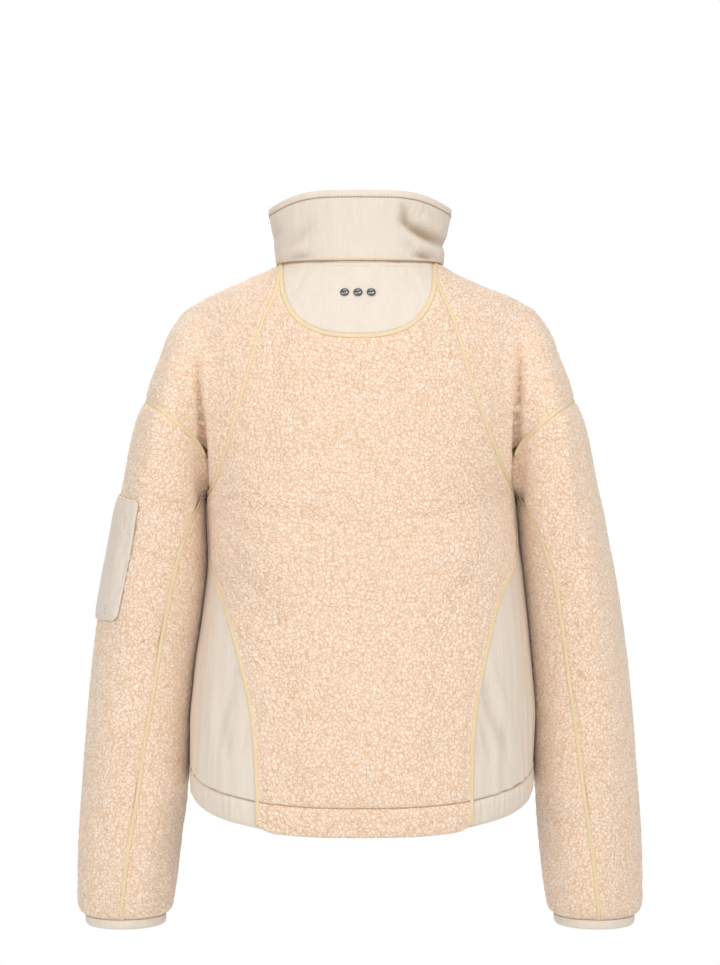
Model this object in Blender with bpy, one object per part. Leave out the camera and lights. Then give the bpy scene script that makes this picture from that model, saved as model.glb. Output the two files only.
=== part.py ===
"""A sherpa jacket, worn with no wearer: cut pieces as thin walls over one form.

Sizes are in millimetres and are turned to metres when a mesh is made.
+Z is up, the front faces -Y and the wearer's left is +X. The origin is the
middle of the neck's base, level with the shoulder points of the collar.
"""
import math

import bpy
import numpy as np

MILLIMETRE = 0.001
SEAM_GAP = 0.4          # between two pieces at a seam
SHERPA_WALL = 5.0       # knit base and pile together
WOVEN_WALL = 1.6
WOVEN_SINK = 2.4        # woven pieces lie this far below the pile's tips
SEAM_DIP = 1.6          # how far the pile sinks beside a seam
TIP_PROBE = 190.0       # a line of sight starts this far from the middle
FINE_STATIONS = 1500    # a table is worked out this finely once, then read straight

NECK_HALF_WIDTH = 84.0
NECK_BACK = 75.0
NECK_FRONT = 86.0
NECK_FRONT_DROP = 55.0
BACK_NECK_CORNER = {1: 69.0, -1: 63.0}    # degrees round the neck from its back
YOKE_NECK_CORNER = {1: 64.0, -1: 58.0}
FRONT_NECK_CORNER = 118.0

YOKE_HALF_WIDTH = 74.0
YOKE_DEPTH = 72.0
YOKE_SQUARENESS = 2.6
YOKE_SHIFT = 2.0

HEM_SEAM_HEIGHT = -491.0    # at the sides
HEM_TILT = 0.185            # the back hangs lower than the front
HEM_BOW = 0.00052
HEM_DROP = {"sherpa": 28.5, "woven": 26.0}
UNDERARM = (154.5, -6.0, -232.0)
ARM_TOP = -50.0
ARM_ROUND = 2.05        # the squareness of a sleeve's outer side
SLEEVE_END = -648.0
CUFF_TOP = -647.7       # up to the sleeve's rolled edge
CUFF_HEIGHT = 9.3
CUFF_WALL = 2.6
CUFF_SIDES = 28

COLLAR_WALL = 2.6
COLLAR_STAND = 0.5          # above the neck seam
COLLAR_ROWS = 5
COLLAR_TOP_HALF_WIDTH = 91.0
COLLAR_BACK_RISE = 60.0     # to the underside of the binding
COLLAR_SIDE_RISE = 48.5
COLLAR_FRONT_RISE = 57.0
COLLAR_FLARE = 5.0
COLLAR_BOW = 1.2        # the wall's belly, half way up
BINDING_HEIGHT = 7.0
BINDING_WALL = 4.0
BINDING_PROUD = 0.2

ZIP_HALF = 4.0
ZIP_WALL = 2.2
ZIP_SINK = 1.6
SLIDER_STAND = 0.8      # clear of the zip's face, which leans
SLIDER = {"width": 8.0, "thick": 3.6, "height": 9.5, "arch": 2.4, "window": 2.6, "reach": 2.0,
          "foot": 1.4, "skin": 1.2}
PULL = {"width": 6.0, "thick": 1.3, "length": 24.0, "bar": 1.3, "hole": 6.0, "hole_width": 3.2}
STUD_SPREAD = (-13.0, 0.0, 13.0)
STUD_HEIGHT = -31.0
STUD_RADIUS = 4.4
STUD_DOME = 2.6
STUD_SIDES = 16
POCKET_LIFT = 0.55

ROWS_SIDE = 12
ACROSS_YOKE = 10
ACROSS_YOKE_SIDE = 4
ACROSS_STRIP = 3
RAGLAN_BY_YOKE = 0.2    # the share of the raglan seam that runs beside the yoke
ROWS_BELOW_YOKE = 8
ACROSS_SHOULDER = 16
ACROSS_UNDER = 6
ACROSS_FRONT = 8
ROWS_SLEEVE = 17
FOLD_CROWDING = 0.25    # how much closer the armhole's points stand by the fold


class Table:
    """Rows with named columns, read smoothly along the first column."""

    def __init__(self, columns, *rows):
        data = np.array(rows, float)
        data = data[np.argsort(data[:, 0])]
        self.stations = np.linspace(data[0, 0], data[-1, 0], FINE_STATIONS)
        self.values = {
            name: smooth(data[:, 0], data[:, i], self.stations) for i, name in enumerate(columns)
        }

    def read(self, column, at):
        return np.interp(at, self.stations, self.values[column])


def smooth(stations, values, at):
    """A cubic through the stations that never overshoots, level past its ends."""
    step = np.diff(stations)
    slope = np.diff(values) / step
    tangent = np.zeros(len(stations))
    tangent[0], tangent[-1] = slope[0], slope[-1]
    product = slope[:-1] * slope[1:]
    total = np.where(product > 0, slope[:-1] + slope[1:], 1.0)
    tangent[1:-1] = np.where(product > 0, 2 * product / total, 0.0)
    at = np.clip(at, stations[0], stations[-1])
    i = np.clip(np.searchsorted(stations, at) - 1, 0, len(stations) - 2)
    t = (at - stations[i]) / step[i]
    start = (1 + 2 * t) * (1 - t) ** 2 * values[i] + t * (1 - t) ** 2 * step[i] * tangent[i]
    end = t * t * (3 - 2 * t) * values[i + 1] + t * t * (t - 1) * step[i] * tangent[i + 1]
    return start + end


TORSO = Table(
    ("height", "centre_x", "half_width", "half_depth", "centre_y", "squareness"),
    (30, 0, 62, 45, 12, 2.0),
    (0, 0, 84, 61, 14, 1.95),
    (-10, 2.5, 103, 67, 13, 1.85),
    (-22, 2, 131, 76, 11, 1.7),
    (-32, 0, 154.5, 83, 10, 1.65),
    (-52, 0, 174, 93, 7, 1.8),
    (-72, 0, 179, 101, 4, 2.0),
    (-92, 0, 179, 107, 1, 2.2),
    (-132, 0, 172, 114, -3, 2.6),
    (-172, 0, 162, 119, -5, 2.8),
    (-232, -1, 154, 122, -6, 2.8),
    (-270, -3, 154, 122, -5, 2.8),
    (-307, -5, 156.5, 121, -4, 2.7),
    (-355, -4.5, 161.5, 121, -2, 2.6),
    (-385, -3.5, 165, 122, -1, 2.6),
    (-425, -3, 168.5, 123, 0, 2.5),
    (-465, -2, 171, 125, 0, 2.5),
    (-506, -1.5, 172.5, 125.5, 0, 2.5),
    (-530, -1.5, 172, 125, 0, 2.5),
    (-570, 0, 168, 123, 0, 2.5),
)
ARM = Table(
    ("height", "outer", "inner", "half_depth", "centre_y", "squareness"),
    (-50, 172, 152, 18, 2, 2.0),
    (-62, 184, 148, 40, 2, 2.0),
    (-72, 191, 146, 52, 2, 2.0),
    (-92, 199.5, 145, 67, 1, 2.1),
    (-112, 208, 146, 76, 0, 2.3),
    (-132, 214, 148, 81, 0, 2.5),
    (-152, 222.5, 151, 84, 0, 2.6),
    (-172, 228, 152, 85, -1, 2.7),
    (-212, 236, 153.5, 85, -4, 2.8),
    (-232, 240.5, 155, 84, -6, 2.8),
    (-246, 244, 155.8, 83, -7, 2.8),
    (-270, 248.5, 156.2, 81, -9, 2.7),
    (-307, 256, 158.8, 79, -11, 2.6),
    (-355, 264, 164, 75, -13, 2.4),
    (-385, 268, 167.8, 72, -14, 2.3),
    (-425, 272, 172.2, 69, -15, 2.3),
    (-465, 275.5, 175.5, 66, -15, 2.2),
    (-500, 278, 175.5, 62, -15, 2.2),
    (-532, 280.5, 176.5, 59, -15, 2.2),
    (-572, 283, 179.5, 55, -15, 2.1),
    (-612, 284, 184, 51, -15, 2.1),
    (-632, 284, 187, 48, -15, 2.0),
    (-642, 282, 189.5, 45, -15, 2.0),
    (-648, 277.5, 193.5, 41, -15, 2.0),
)
BLEND = Table(
    ("height", "radius"),
    (0, 20),
    (-60, 24),
    (-110, 28),
    (-160, 20),
    (-205, 10),
    (-228, 3),
    (-245, 1),
    (-660, 1),
)
RAGLAN = Table(
    ("height", "left", "right", "front"),
    (0, 79, 74, 76),
    (-25, 82, 78, 80),
    (-45, 90, 86.5, 86),
    (-70, 98.5, 95, 95),
    (-102, 106.5, 103, 104),
    (-134, 116, 113, 114),
    (-165, 125, 125, 125),
    (-190, 133, 135, 134),
    (-214, 142.5, 147, 144),
    (-227, 152.4, 154.4, 153.4),
)
SIDE_SEAM = Table(
    ("height", "left", "right", "front"),
    (-227, 152.4, 154.4, 153.4),
    (-245, 151.6, 154.6, 153.2),
    (-265, 150.6, 155.8, 153.2),
    (-283, 149.8, 155.6, 153.0),
    (-297, 148.2, 151.5, 150),
    (-308, 144, 144.5, 144.5),
    (-320, 137, 138, 138),
    (-343, 128.5, 129.5, 129),
    (-367, 120.5, 124, 122),
    (-390, 113.5, 118, 116),
    (-416, 107.5, 113, 110),
    (-444, 102, 109, 105),
    (-473, 99.5, 106.5, 103),
    (-525, 97, 106, 102),
)
ARMHOLE = Table(
    ("inward", "x", "height"),
    (0.0, 214.5, -132),
    (0.22, 201, -139),
    (0.45, 184, -150),
    (0.66, 168, -166),
    (0.80, 159, -184),
    (0.92, 155.5, -208),
    (1.0, 153.4, -227),
)
SLEEVE_SEAM = Table(
    ("height", "turn"),
    (-227, 172),
    (-245, 166),
    (-262, 155),
    (-279, 143),
    (-304, 130),
    (-347, 119),
    (-402, 113),
    (-449, 109),
    (-495, 103),
    (-541, 98),
    (-588, 93),
    (-648, 90),
)
POCKET_EDGE = Table(
    ("down", "height", "back_turn", "front_turn"),
    (0, -233, 70, -10),
    (1, -345, 63, -14),
)
HEM_ROLL = Table(
    ("down", "outer", "inner"),     # how deep both faces of the band lie, in from the form
    (0, 1.4, 4.6),
    (0.3, 0.0, 6.4),
    (0.72, 0.3, 6.2),
    (1, 2.4, 4.6),
)
HEM_ROLL_STEPS = (0, 0.3, 0.72, 1.0)
CUFF_ROLL = ((0.0, 1.4), (0.5, 1.8), (0.9, 3.2), (1.0, 4.6))    # share down, inset
BINDING_ROLL = ((0.0, 0.0), (0.35, 0.9), (0.8, 0.7), (1.0, -0.6))   # share up, bulge
STUD_TURNING = ((1.0, 0.0), (1.0, 0.6), (0.86, 1.5), (0.5, 2.35))   # share of radius, height
MATERIALS = {
    "sherpa": ((0.80, 0.62, 0.42, 1), 0.95, 0.0),
    "woven": ((0.86, 0.78, 0.66, 1), 0.7, 0.0),
    "zip": ((0.78, 0.70, 0.58, 1), 0.5, 0.0),
    "gunmetal": ((0.07, 0.07, 0.07, 1), 0.25, 1.0),
}


# --- the form that every piece lies on -------------------------------------

def oval(points, centre_x, centre_y, half_width, half_depth, squareness):
    """How far each point is from a level oval, along the line from its middle."""
    across = points[..., 0] - centre_x
    deep = points[..., 1] - centre_y
    reach = np.abs(across / half_width) ** squareness + np.abs(deep / half_depth) ** squareness
    reach = np.maximum(reach, 1e-9) ** (1 / squareness)
    return np.hypot(across, deep) * (1 - 1 / reach)


def torso(points):
    z = points[..., 2]
    sizes = [TORSO.read(name, z) for name in ("half_width", "half_depth", "squareness")]
    return oval(points, TORSO.read("centre_x", z), TORSO.read("centre_y", z), *sizes)


def arm_span(z, side):
    """The middle and half width of a sleeve; its inner edge follows the body's sway."""
    outer, inner = ARM.read("outer", z), ARM.read("inner", z) + side * TORSO.read("centre_x", z)
    return (outer + inner) / 2, (outer - inner) / 2


def arm(points):
    """The gap to the nearer arm, which is boxier on the side that faces the body."""
    z = points[..., 2]
    folded = np.stack([np.abs(points[..., 0]), points[..., 1], z], axis=-1)
    middle, half = arm_span(z, np.sign(points[..., 0]))
    inward = np.clip(0.5 - (folded[..., 0] - middle) / half, 0, 1)
    squareness = ARM_ROUND + (ARM.read("squareness", z) - ARM_ROUND) * inward
    sizes = half, ARM.read("half_depth", z), squareness
    level = oval(folded, middle, ARM.read("centre_y", z), *sizes)
    return np.maximum(level, z - ARM_TOP)


def slope_of(function, points, step=0.4):
    """The gradient of a function of space, by central differences."""
    parts = []
    for axis in range(3):
        shift = np.zeros(3)
        shift[axis] = step
        parts.append((function(points + shift) - function(points - shift)) / (2 * step))
    return np.stack(parts, axis=-1)


def as_distance(function, points):
    slope = np.linalg.norm(slope_of(function, points), axis=-1)
    return function(points) / np.maximum(slope, 0.3)


def form(points):
    """The outer face of the jacket is where this is nought: body and arms, softly joined."""
    radius = BLEND.read("radius", points[..., 2])
    body, sleeve = as_distance(torso, points), as_distance(arm, points)
    shared = np.maximum(radius - np.abs(body - sleeve), 0) / radius
    return np.minimum(body, sleeve) - shared ** 2 * radius / 4


def pull(points, rounds=9):
    """Moves points down the form's slope until they lie on it."""
    for _ in range(rounds):
        slope = slope_of(form, points)
        size = np.maximum(np.sum(slope ** 2, axis=-1), 0.25)
        move = np.clip(form(points) / size, -12, 12)
        points = points - move[..., None] * slope
    return points


def outward(points):
    slope = slope_of(form, points, 1.5)
    return slope / np.linalg.norm(slope, axis=-1, keepdims=True)


def seen(x, z, face):
    """The first point of the form met from the back (face 1) or the front (face -1)."""
    x, z = np.broadcast_arrays(np.asarray(x, float), np.asarray(z, float))
    depths = np.linspace(TIP_PROBE, 0, 77)

    def place(depth):
        return np.stack([x + 0 * depth, face * depth, z + 0 * depth], axis=-1)

    inside = form(place(depths.reshape(-1, *[1] * x.ndim) + 0 * x)) < 0
    first = np.where(inside.any(axis=0), inside.argmax(axis=0), len(depths) - 1)
    far, near = depths[np.maximum(first - 1, 0)], depths[first]
    for _ in range(16):
        middle = (far + near) / 2
        within = form(place(middle)) < 0
        near, far = np.where(within, middle, near), np.where(within, far, middle)
    return place(near)


# --- seams -------------------------------------------------------------------

def resample(points, stations):
    """Points at the given shares (0 to 1) of a line's length."""
    length = np.r_[0, np.cumsum(np.linalg.norm(np.diff(points, axis=0), axis=1))]
    at = np.asarray(stations) * length[-1]
    return np.stack([np.interp(at, length, points[:, k]) for k in range(points.shape[1])], axis=1)


def even_steps(count):
    return np.linspace(0, 1, count + 1)


def neck(turn):
    """The neck's base at a turn in degrees from the middle of the back, towards +X."""
    angle = np.radians(np.asarray(turn, float))
    ahead = np.cos(angle) < 0
    x = NECK_HALF_WIDTH * np.sin(angle)
    y = np.where(ahead, NECK_FRONT, NECK_BACK) * np.cos(angle)
    z = np.where(ahead, -NECK_FRONT_DROP * np.cos(angle) ** 2, 0.0)
    return pull(np.stack([x, y, z], axis=-1))


def hem_height(y):
    return HEM_SEAM_HEIGHT - HEM_TILT * y - HEM_BOW * y * y


def to_hem(points):
    """Puts points at the hem seam's height for their place, on the form."""
    for _ in range(4):
        points = points.copy()
        points[..., 2] = hem_height(points[..., 1])
        points = pull(points, 4)
    points[..., 2] = hem_height(points[..., 1])
    return points


def raglan_steps():
    """Shares of the raglan seam: close together beside the yoke, then even."""
    beside = np.linspace(0, RAGLAN_BY_YOKE, ACROSS_YOKE_SIDE, endpoint=False)
    return np.r_[beside, np.linspace(RAGLAN_BY_YOKE, 1, ROWS_BELOW_YOKE + 1)]


def seam(table, column, side, face, start, end, steps):
    """A seam from a table of heights and half widths, between two known points."""
    heights = np.linspace(start[2], end[2], 60)[1:-1]
    x = side * table.read(column, heights)
    if column == "front":
        x = x + TORSO.read("centre_x", heights)
    middle = seen(x, heights, face)
    line = np.concatenate([start[None], middle, end[None]])
    line = resample(line, steps)
    line[1:-1] = pull(line[1:-1], 3)
    return line


def fold_point(side, face):
    """Where the armhole and the body's long seam meet, deep in the fold."""
    column, z = ("left" if side == 1 else "right"), UNDERARM[2] + 5
    return seen(side * RAGLAN.read(column, z), z, face)


def hem_corner(side, face, column):
    x = SIDE_SEAM.read(column, -505)
    z = -505.0
    for _ in range(6):
        point = seen(side * x, z, face)
        z = hem_height(point[1])
        x = SIDE_SEAM.read(column, z)
    return np.array([point[0], point[1], z])


def armhole_half(side, face, fold):
    """Half the drop-shoulder seam, from the tip of the shoulder to the fold."""
    inward = np.linspace(0, 1, 60)
    x, z = side * ARMHOLE.read("x", inward), ARMHOLE.read("height", inward)
    line = seen(x, z, face)
    line[0] = pull(np.array([side * ARMHOLE.read("x", 0.0), 0.0, ARMHOLE.read("height", 0.0)]))
    line[-1] = fold
    shares = even_steps(ACROSS_SHOULDER // 2)
    line = resample(line, shares + FOLD_CROWDING * shares * (1 - shares))
    line[1:-1] = pull(line[1:-1], 4)
    return line


def under_arc(fold_back, fold_front, side):
    """The short seam under the arm, from the back fold to the front fold."""
    sway = TORSO.read("centre_x", UNDERARM[2])
    bottom = pull(np.array([side * UNDERARM[0] + sway, UNDERARM[1], UNDERARM[2]]))
    line = resample(np.array([fold_back, bottom, fold_front]), even_steps(ACROSS_UNDER))
    line[1:-1] = pull(line[1:-1], 5)
    return line


# --- skins -------------------------------------------------------------------

def coons(top, bottom, left, right):
    """A grid between four edges that meet at its corners."""
    rows, columns = len(left), len(top)
    v = np.linspace(0, 1, rows)[:, None, None]
    u = np.linspace(0, 1, columns)[None, :, None]
    ruled = (1 - v) * top[None] + v * bottom[None] + (1 - u) * left[:, None] + u * right[:, None]
    corners = ((1 - v) * ((1 - u) * top[0] + u * top[-1])
               + v * ((1 - u) * bottom[0] + u * bottom[-1]))
    return ruled - corners


def keep_edges(grid, top, bottom, left, right):
    grid[0], grid[-1], grid[:, 0], grid[:, -1] = top, bottom, left, right
    return grid


def facing_skin(face, top, bottom, left, right):
    """A grid seen square on from the back or front, laid on the form."""
    flat = coons(top, bottom, left, right)
    grid = seen(flat[..., 0], flat[..., 2], face)
    return keep_edges(grid, top, bottom, left, right)


def body_chart(points, side):
    """Each point's turn round the body and its height; a side of -1 turns the other way."""
    z = points[..., 2]
    across = side * (points[..., 0] - TORSO.read("centre_x", z))
    turn = np.arctan2(points[..., 1] - TORSO.read("centre_y", z), across)
    return np.stack([turn, z], axis=-1)


def body_point(turn, height, side):
    """The point of the plain body at a turn and height: the way back from the chart."""
    squareness = TORSO.read("squareness", height)
    c, s = np.cos(turn), np.sin(turn)
    wide = np.abs(c / TORSO.read("half_width", height)) ** squareness
    deep = np.abs(s / TORSO.read("half_depth", height)) ** squareness
    reach = (wide + deep) ** (-1 / squareness)
    x = TORSO.read("centre_x", height) + side * c * reach
    return np.stack([x, TORSO.read("centre_y", height) + s * reach, height], axis=-1)


def body_skin(top, bottom, left, right, side=1):
    """A grid spread evenly by turn and height round the body, laid on the form."""
    chart = coons(*[body_chart(edge, side) for edge in (top, bottom, left, right)])
    grid = pull(body_point(chart[..., 0], chart[..., 1], side), 8)
    return keep_edges(grid, top, bottom, left, right)


def wrapped_skin(top, bottom, left, right):
    """A grid on a side or shoulder, laid on the form down its slope."""
    grid = pull(coons(top, bottom, left, right), 14)
    return keep_edges(grid, top, bottom, left, right)


# --- solids ------------------------------------------------------------------

def material(name):
    found = bpy.data.materials.get(name)
    if found:
        return found
    colour, roughness, metallic = MATERIALS[name]
    made = bpy.data.materials.new(name)
    made.use_nodes = True
    shader = made.node_tree.nodes["Principled BSDF"]
    shader.inputs["Base Color"].default_value = colour
    shader.inputs["Roughness"].default_value = roughness
    shader.inputs["Metallic"].default_value = metallic
    made.diffuse_color = colour
    return made


def add_mesh(name, points, faces, finish, sharp_degrees=50):
    mesh = bpy.data.meshes.new(name)
    mesh.from_pydata((np.asarray(points) * MILLIMETRE).tolist(), [], faces)
    mesh.update()
    mesh.shade_smooth()
    mesh.set_sharp_from_angle(angle=math.radians(sharp_degrees))
    mesh.materials.append(material(finish))
    made = bpy.data.objects.new(name, mesh)
    bpy.context.scene.collection.objects.link(made)
    return made


def grid_quads(shape, closed=False, cells=None):
    """The quads of a grid, row by row; cells says which of them are cloth."""
    number = np.arange(shape[0] * shape[1]).reshape(shape)
    loop = np.concatenate([number, number[:, :1]], axis=1) if closed else number
    quads = np.stack([loop[:-1, :-1], loop[:-1, 1:], loop[1:, 1:], loop[1:, :-1]], axis=-1)
    return quads.reshape(-1, 4) if cells is None else quads[cells]


def open_edges(quads):
    """The edges that only one quad uses, each with the middle of that quad's corners."""
    used = {}
    for quad in quads.tolist():
        for start, end in zip(quad, quad[1:] + quad[:1]):
            used[(start, end)] = quad
    return [(edge, quad) for edge, quad in used.items() if edge[::-1] not in used]


def drawn_in(points, normal, quads):
    """The points with the cut edges drawn in by half a seam gap, mitred at corners."""
    ways = {}
    for (start, end), quad in open_edges(quads):
        along = points[end] - points[start]
        along /= np.linalg.norm(along)
        inward = points[quad].mean(axis=0) - (points[start] + points[end]) / 2
        for corner in (start, end):
            way = inward - inward.dot(along) * along
            way -= way.dot(normal[corner]) * normal[corner]
            ways.setdefault(corner, []).append(way / np.linalg.norm(way))
    moved = points.copy()
    for corner, (one, other) in ways.items():
        miter = (one + other) / max(1 + one.dot(other), 0.3)
        moved[corner] += miter * SEAM_GAP / 2
    return moved, list(ways)


def edge_faces(points, start, end, layer):
    """Two triangles across a wall's edge, split the same way on both sides of a seam."""
    one = np.linalg.norm(points[start] - points[end + layer])
    other = np.linalg.norm(points[end] - points[start + layer])
    if one < other:
        return [[end, start, end + layer], [start, start + layer, end + layer]]
    return [[end, start, start + layer], [end, start + layer, end + layer]]


def shell(name, outer, inner, finish, closed=False, cells=None):
    """A closed wall between an outer and an inner grid of the same size."""
    quads = grid_quads(outer.shape[:2], closed, cells)
    kept, quads = np.unique(quads, return_inverse=True)
    quads = quads.reshape(-1, 4)
    front, back = outer.reshape(-1, 3)[kept], inner.reshape(-1, 3)[kept]
    span = front[quads]
    facing = np.cross(span[:, 2] - span[:, 0], span[:, 3] - span[:, 1])
    if np.sum(facing * (front - back)[quads].mean(axis=1)) < 0:
        quads = quads[:, ::-1]
    layer = len(kept)
    points = np.concatenate([front, back])
    faces = quads.tolist() + (quads[:, ::-1] + layer).tolist()
    for (start, end), _ in open_edges(quads):
        faces += edge_faces(points, start, end, layer)
    return add_mesh(name, points, faces, finish)


def cloth(name, skin, finish, cells=None):
    """A cut piece: a wall under its skin, its edges drawn in and down at the seams."""
    sherpa = finish == "sherpa"
    thickness = SHERPA_WALL if sherpa else WOVEN_WALL
    sink = 0.0 if sherpa else WOVEN_SINK
    normal = outward(skin).reshape(-1, 3)
    quads = grid_quads(skin.shape[:2], False, cells)
    flat, at_seams = drawn_in(skin.reshape(-1, 3), normal, quads)
    depth = np.full(len(flat), sink)
    depth[at_seams] += SEAM_DIP if sherpa else 0.0
    outer = flat - normal * depth[:, None]
    inner = flat - normal * (sink + thickness)
    return shell(name, outer.reshape(skin.shape), inner.reshape(skin.shape), finish, cells=cells)


# --- the jacket ----------------------------------------------------------------

def body_seams(side):
    """Every seam of one half of the body, as points on the form."""
    column = "left" if side == 1 else "right"
    back_corner = neck(side * BACK_NECK_CORNER[side])
    front_corner = neck(side * FRONT_NECK_CORNER)
    fold_back, fold_front = fold_point(side, 1), fold_point(side, -1)
    hem_back, hem_front = hem_corner(side, 1, column), hem_corner(side, -1, "front")
    back_half = armhole_half(side, 1, fold_back)
    front_half = armhole_half(side, -1, fold_front)
    turns = np.linspace(BACK_NECK_CORNER[side], FRONT_NECK_CORNER, ACROSS_SHOULDER + 1)
    zip_turn = math.degrees(math.asin(ZIP_HALF / NECK_HALF_WIDTH))
    front_turns = np.linspace(FRONT_NECK_CORNER, 180 - zip_turn, ACROSS_FRONT + 1)
    return {
        "raglan_back": seam(RAGLAN, column, side, 1, back_corner, fold_back, raglan_steps()),
        "raglan_front": seam(RAGLAN, "front", side, -1, front_corner, fold_front, raglan_steps()),
        "side_back": seam(SIDE_SEAM, column, side, 1, fold_back, hem_back, even_steps(ROWS_SIDE)),
        "side_front": seam(SIDE_SEAM, "front", side, -1, fold_front, hem_front,
                           even_steps(ROWS_SIDE)),
        "armhole": np.concatenate([back_half[::-1], front_half[1:]]),
        "under": under_arc(fold_back, fold_front, side),
        "neck_side": neck(side * turns),
        "neck_front": neck(side * front_turns),
    }


def yoke_edge(left_corner, right_corner):
    """The yoke's lower edge: half a squared oval, from the left neck corner round."""
    angle = np.linspace(0, math.pi, 90)[1:-1]
    power = 2 / YOKE_SQUARENESS
    x = YOKE_SHIFT + YOKE_HALF_WIDTH * np.sign(np.cos(angle)) * np.abs(np.cos(angle)) ** power
    z = -YOKE_DEPTH * np.sin(angle) ** power
    line = np.concatenate([left_corner[None], seen(x, z, 1), right_corner[None]])
    line = resample(line, even_steps(2 * ACROSS_YOKE_SIDE + ACROSS_YOKE))
    line[1:-1] = pull(line[1:-1], 3)
    return line


def hem_line(start, end, count, face):
    """The hem seam between two of its points, seen from the back or front."""
    x = np.linspace(start[0], end[0], count + 1)
    z = np.full_like(x, (start[2] + end[2]) / 2)
    line = seen(x, z, face)
    line = to_hem(line)
    line[0], line[-1] = start, end
    return line


def hem_side_line(back, front, side):
    """The hem seam round the side of the body, from the back seam to the front."""
    turn = np.linspace(math.atan2(back[1], back[0] * side),
                       math.atan2(front[1], front[0] * side), ACROSS_UNDER * 2 + 1)
    line = np.stack([side * 160 * np.cos(turn), 120 * np.sin(turn), 0 * turn - 495], axis=-1)
    line = to_hem(line)
    line = resample(line, even_steps(ACROSS_UNDER))
    line[0], line[-1] = back, front
    line[1:-1] = to_hem(line[1:-1])
    return line


def hem_band(name, top, finish):
    """The hem's channel under a piece: a soft roll that hangs from the hem seam."""
    drop = HEM_DROP[finish]
    shares = np.array(HEM_ROLL_STEPS)
    sinks = HEM_ROLL.read("outer", shares) + (0 if finish == "sherpa" else WOVEN_SINK - 0.8)
    backs = HEM_ROLL.read("inner", shares) + (0 if finish == "sherpa" else SEAM_GAP)
    skin = np.repeat(top[None], len(shares), axis=0)
    skin[..., 2] -= (shares * drop)[:, None]
    skin[1:] = pull(skin[1:], 4)
    normal = outward(skin)
    quads = grid_quads(skin.shape[:2])
    flat = drawn_in(skin.reshape(-1, 3), normal.reshape(-1, 3), quads)[0].reshape(skin.shape)
    outer = flat - normal * sinks[:, None, None]
    inner = flat - normal * backs[:, None, None]
    shell(name, outer, inner, finish)
    return skin


def shoulder_skin(seams, side):
    """The shoulder piece in two halves that share the ridge over the shoulder."""
    half = ACROSS_SHOULDER // 2
    neck_side, armhole = seams["neck_side"], seams["armhole"]
    heights = np.linspace(0, ARMHOLE.read("height", 0.0), 40)
    widths = np.maximum(TORSO.read("half_width", heights),
                        np.where(heights < ARM_TOP, ARM.read("outer", heights), 0))
    ridge = np.stack([side * widths, 4 + 0 * heights, heights], axis=-1)
    ridge = pull(ridge)
    ridge[0], ridge[-1] = neck_side[half], armhole[half]
    ridge = resample(ridge, raglan_steps())
    ridge[1:-1] = pull(ridge[1:-1])
    back = wrapped_skin(neck_side[:half + 1], armhole[:half + 1], seams["raglan_back"], ridge)
    front = wrapped_skin(neck_side[half:], armhole[half:], ridge, seams["raglan_front"])
    return np.concatenate([back, front[:, 1:]], axis=1)


def back_skin(yoke_low, long_edges, hem_back):
    """The back's grid: a strip each side of the yoke, and the full width below it."""
    rows = ACROSS_YOKE_SIDE
    left, right = long_edges[1], long_edges[-1]
    yoke_left, yoke_right = yoke_low[:rows + 1], yoke_low[:-rows - 2:-1]
    blend = even_steps(ACROSS_STRIP)

    def strip(from_edge, to_edge):
        ends = [from_edge[[k]] + blend[:, None] * (to_edge[k] - from_edge[k]) for k in (0, -1)]
        return body_skin(pull(ends[0]), pull(ends[1]), from_edge, to_edge)

    left_strip = strip(left[:rows + 1], yoke_left)
    right_strip = strip(yoke_right, right[:rows + 1])
    join = np.concatenate([left_strip[-1], yoke_low[rows + 1:-rows - 1], right_strip[-1]])
    below = body_skin(join, hem_back, left[rows:], right[rows:])
    gap = np.repeat(join[None, ACROSS_STRIP + 1:-ACROSS_STRIP - 1], rows, axis=0)
    above = np.concatenate([left_strip[:-1], gap, right_strip[:-1]], axis=1)
    skin = np.concatenate([above, below])
    cells = np.ones((skin.shape[0] - 1, skin.shape[1] - 1), bool)
    cells[:rows, ACROSS_STRIP:-ACROSS_STRIP] = False
    return skin, cells


def sleeve_point(side, turn, height):
    """A point of the plain arm at a turn in degrees: 0 outward, 90 back, 180 inward."""
    angle = np.radians(turn)
    middle, half = arm_span(height, side)
    inward = np.clip(-np.cos(angle), 0, 1)
    squareness = ARM_ROUND + (ARM.read("squareness", height) - ARM_ROUND) * inward
    c, s = np.cos(angle), np.sin(angle)
    reach = (np.abs(c) ** squareness + np.abs(s) ** squareness) ** (-1 / squareness)
    x = middle + half * c * reach
    y = ARM.read("centre_y", height) + ARM.read("half_depth", height) * s * reach
    return np.stack([side * x, y, height + 0 * turn], axis=-1)


def sleeve_turn(side, points):
    """The turn at which a point lies round the arm, from 0 outward to 180 inward."""
    z = points[..., 2]
    middle, half = arm_span(z, side)
    c = (points[..., 0] * side - middle) / half
    s = (points[..., 1] - ARM.read("centre_y", z)) / ARM.read("half_depth", z)
    return np.degrees(np.arctan2(s, c))


def sleeve_stations():
    """Shares of the sleeve's length, closer together where its end rolls in."""
    return np.r_[np.linspace(0, 0.93, ROWS_SLEEVE - 2), 0.965, 0.988, 1.0]


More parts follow.
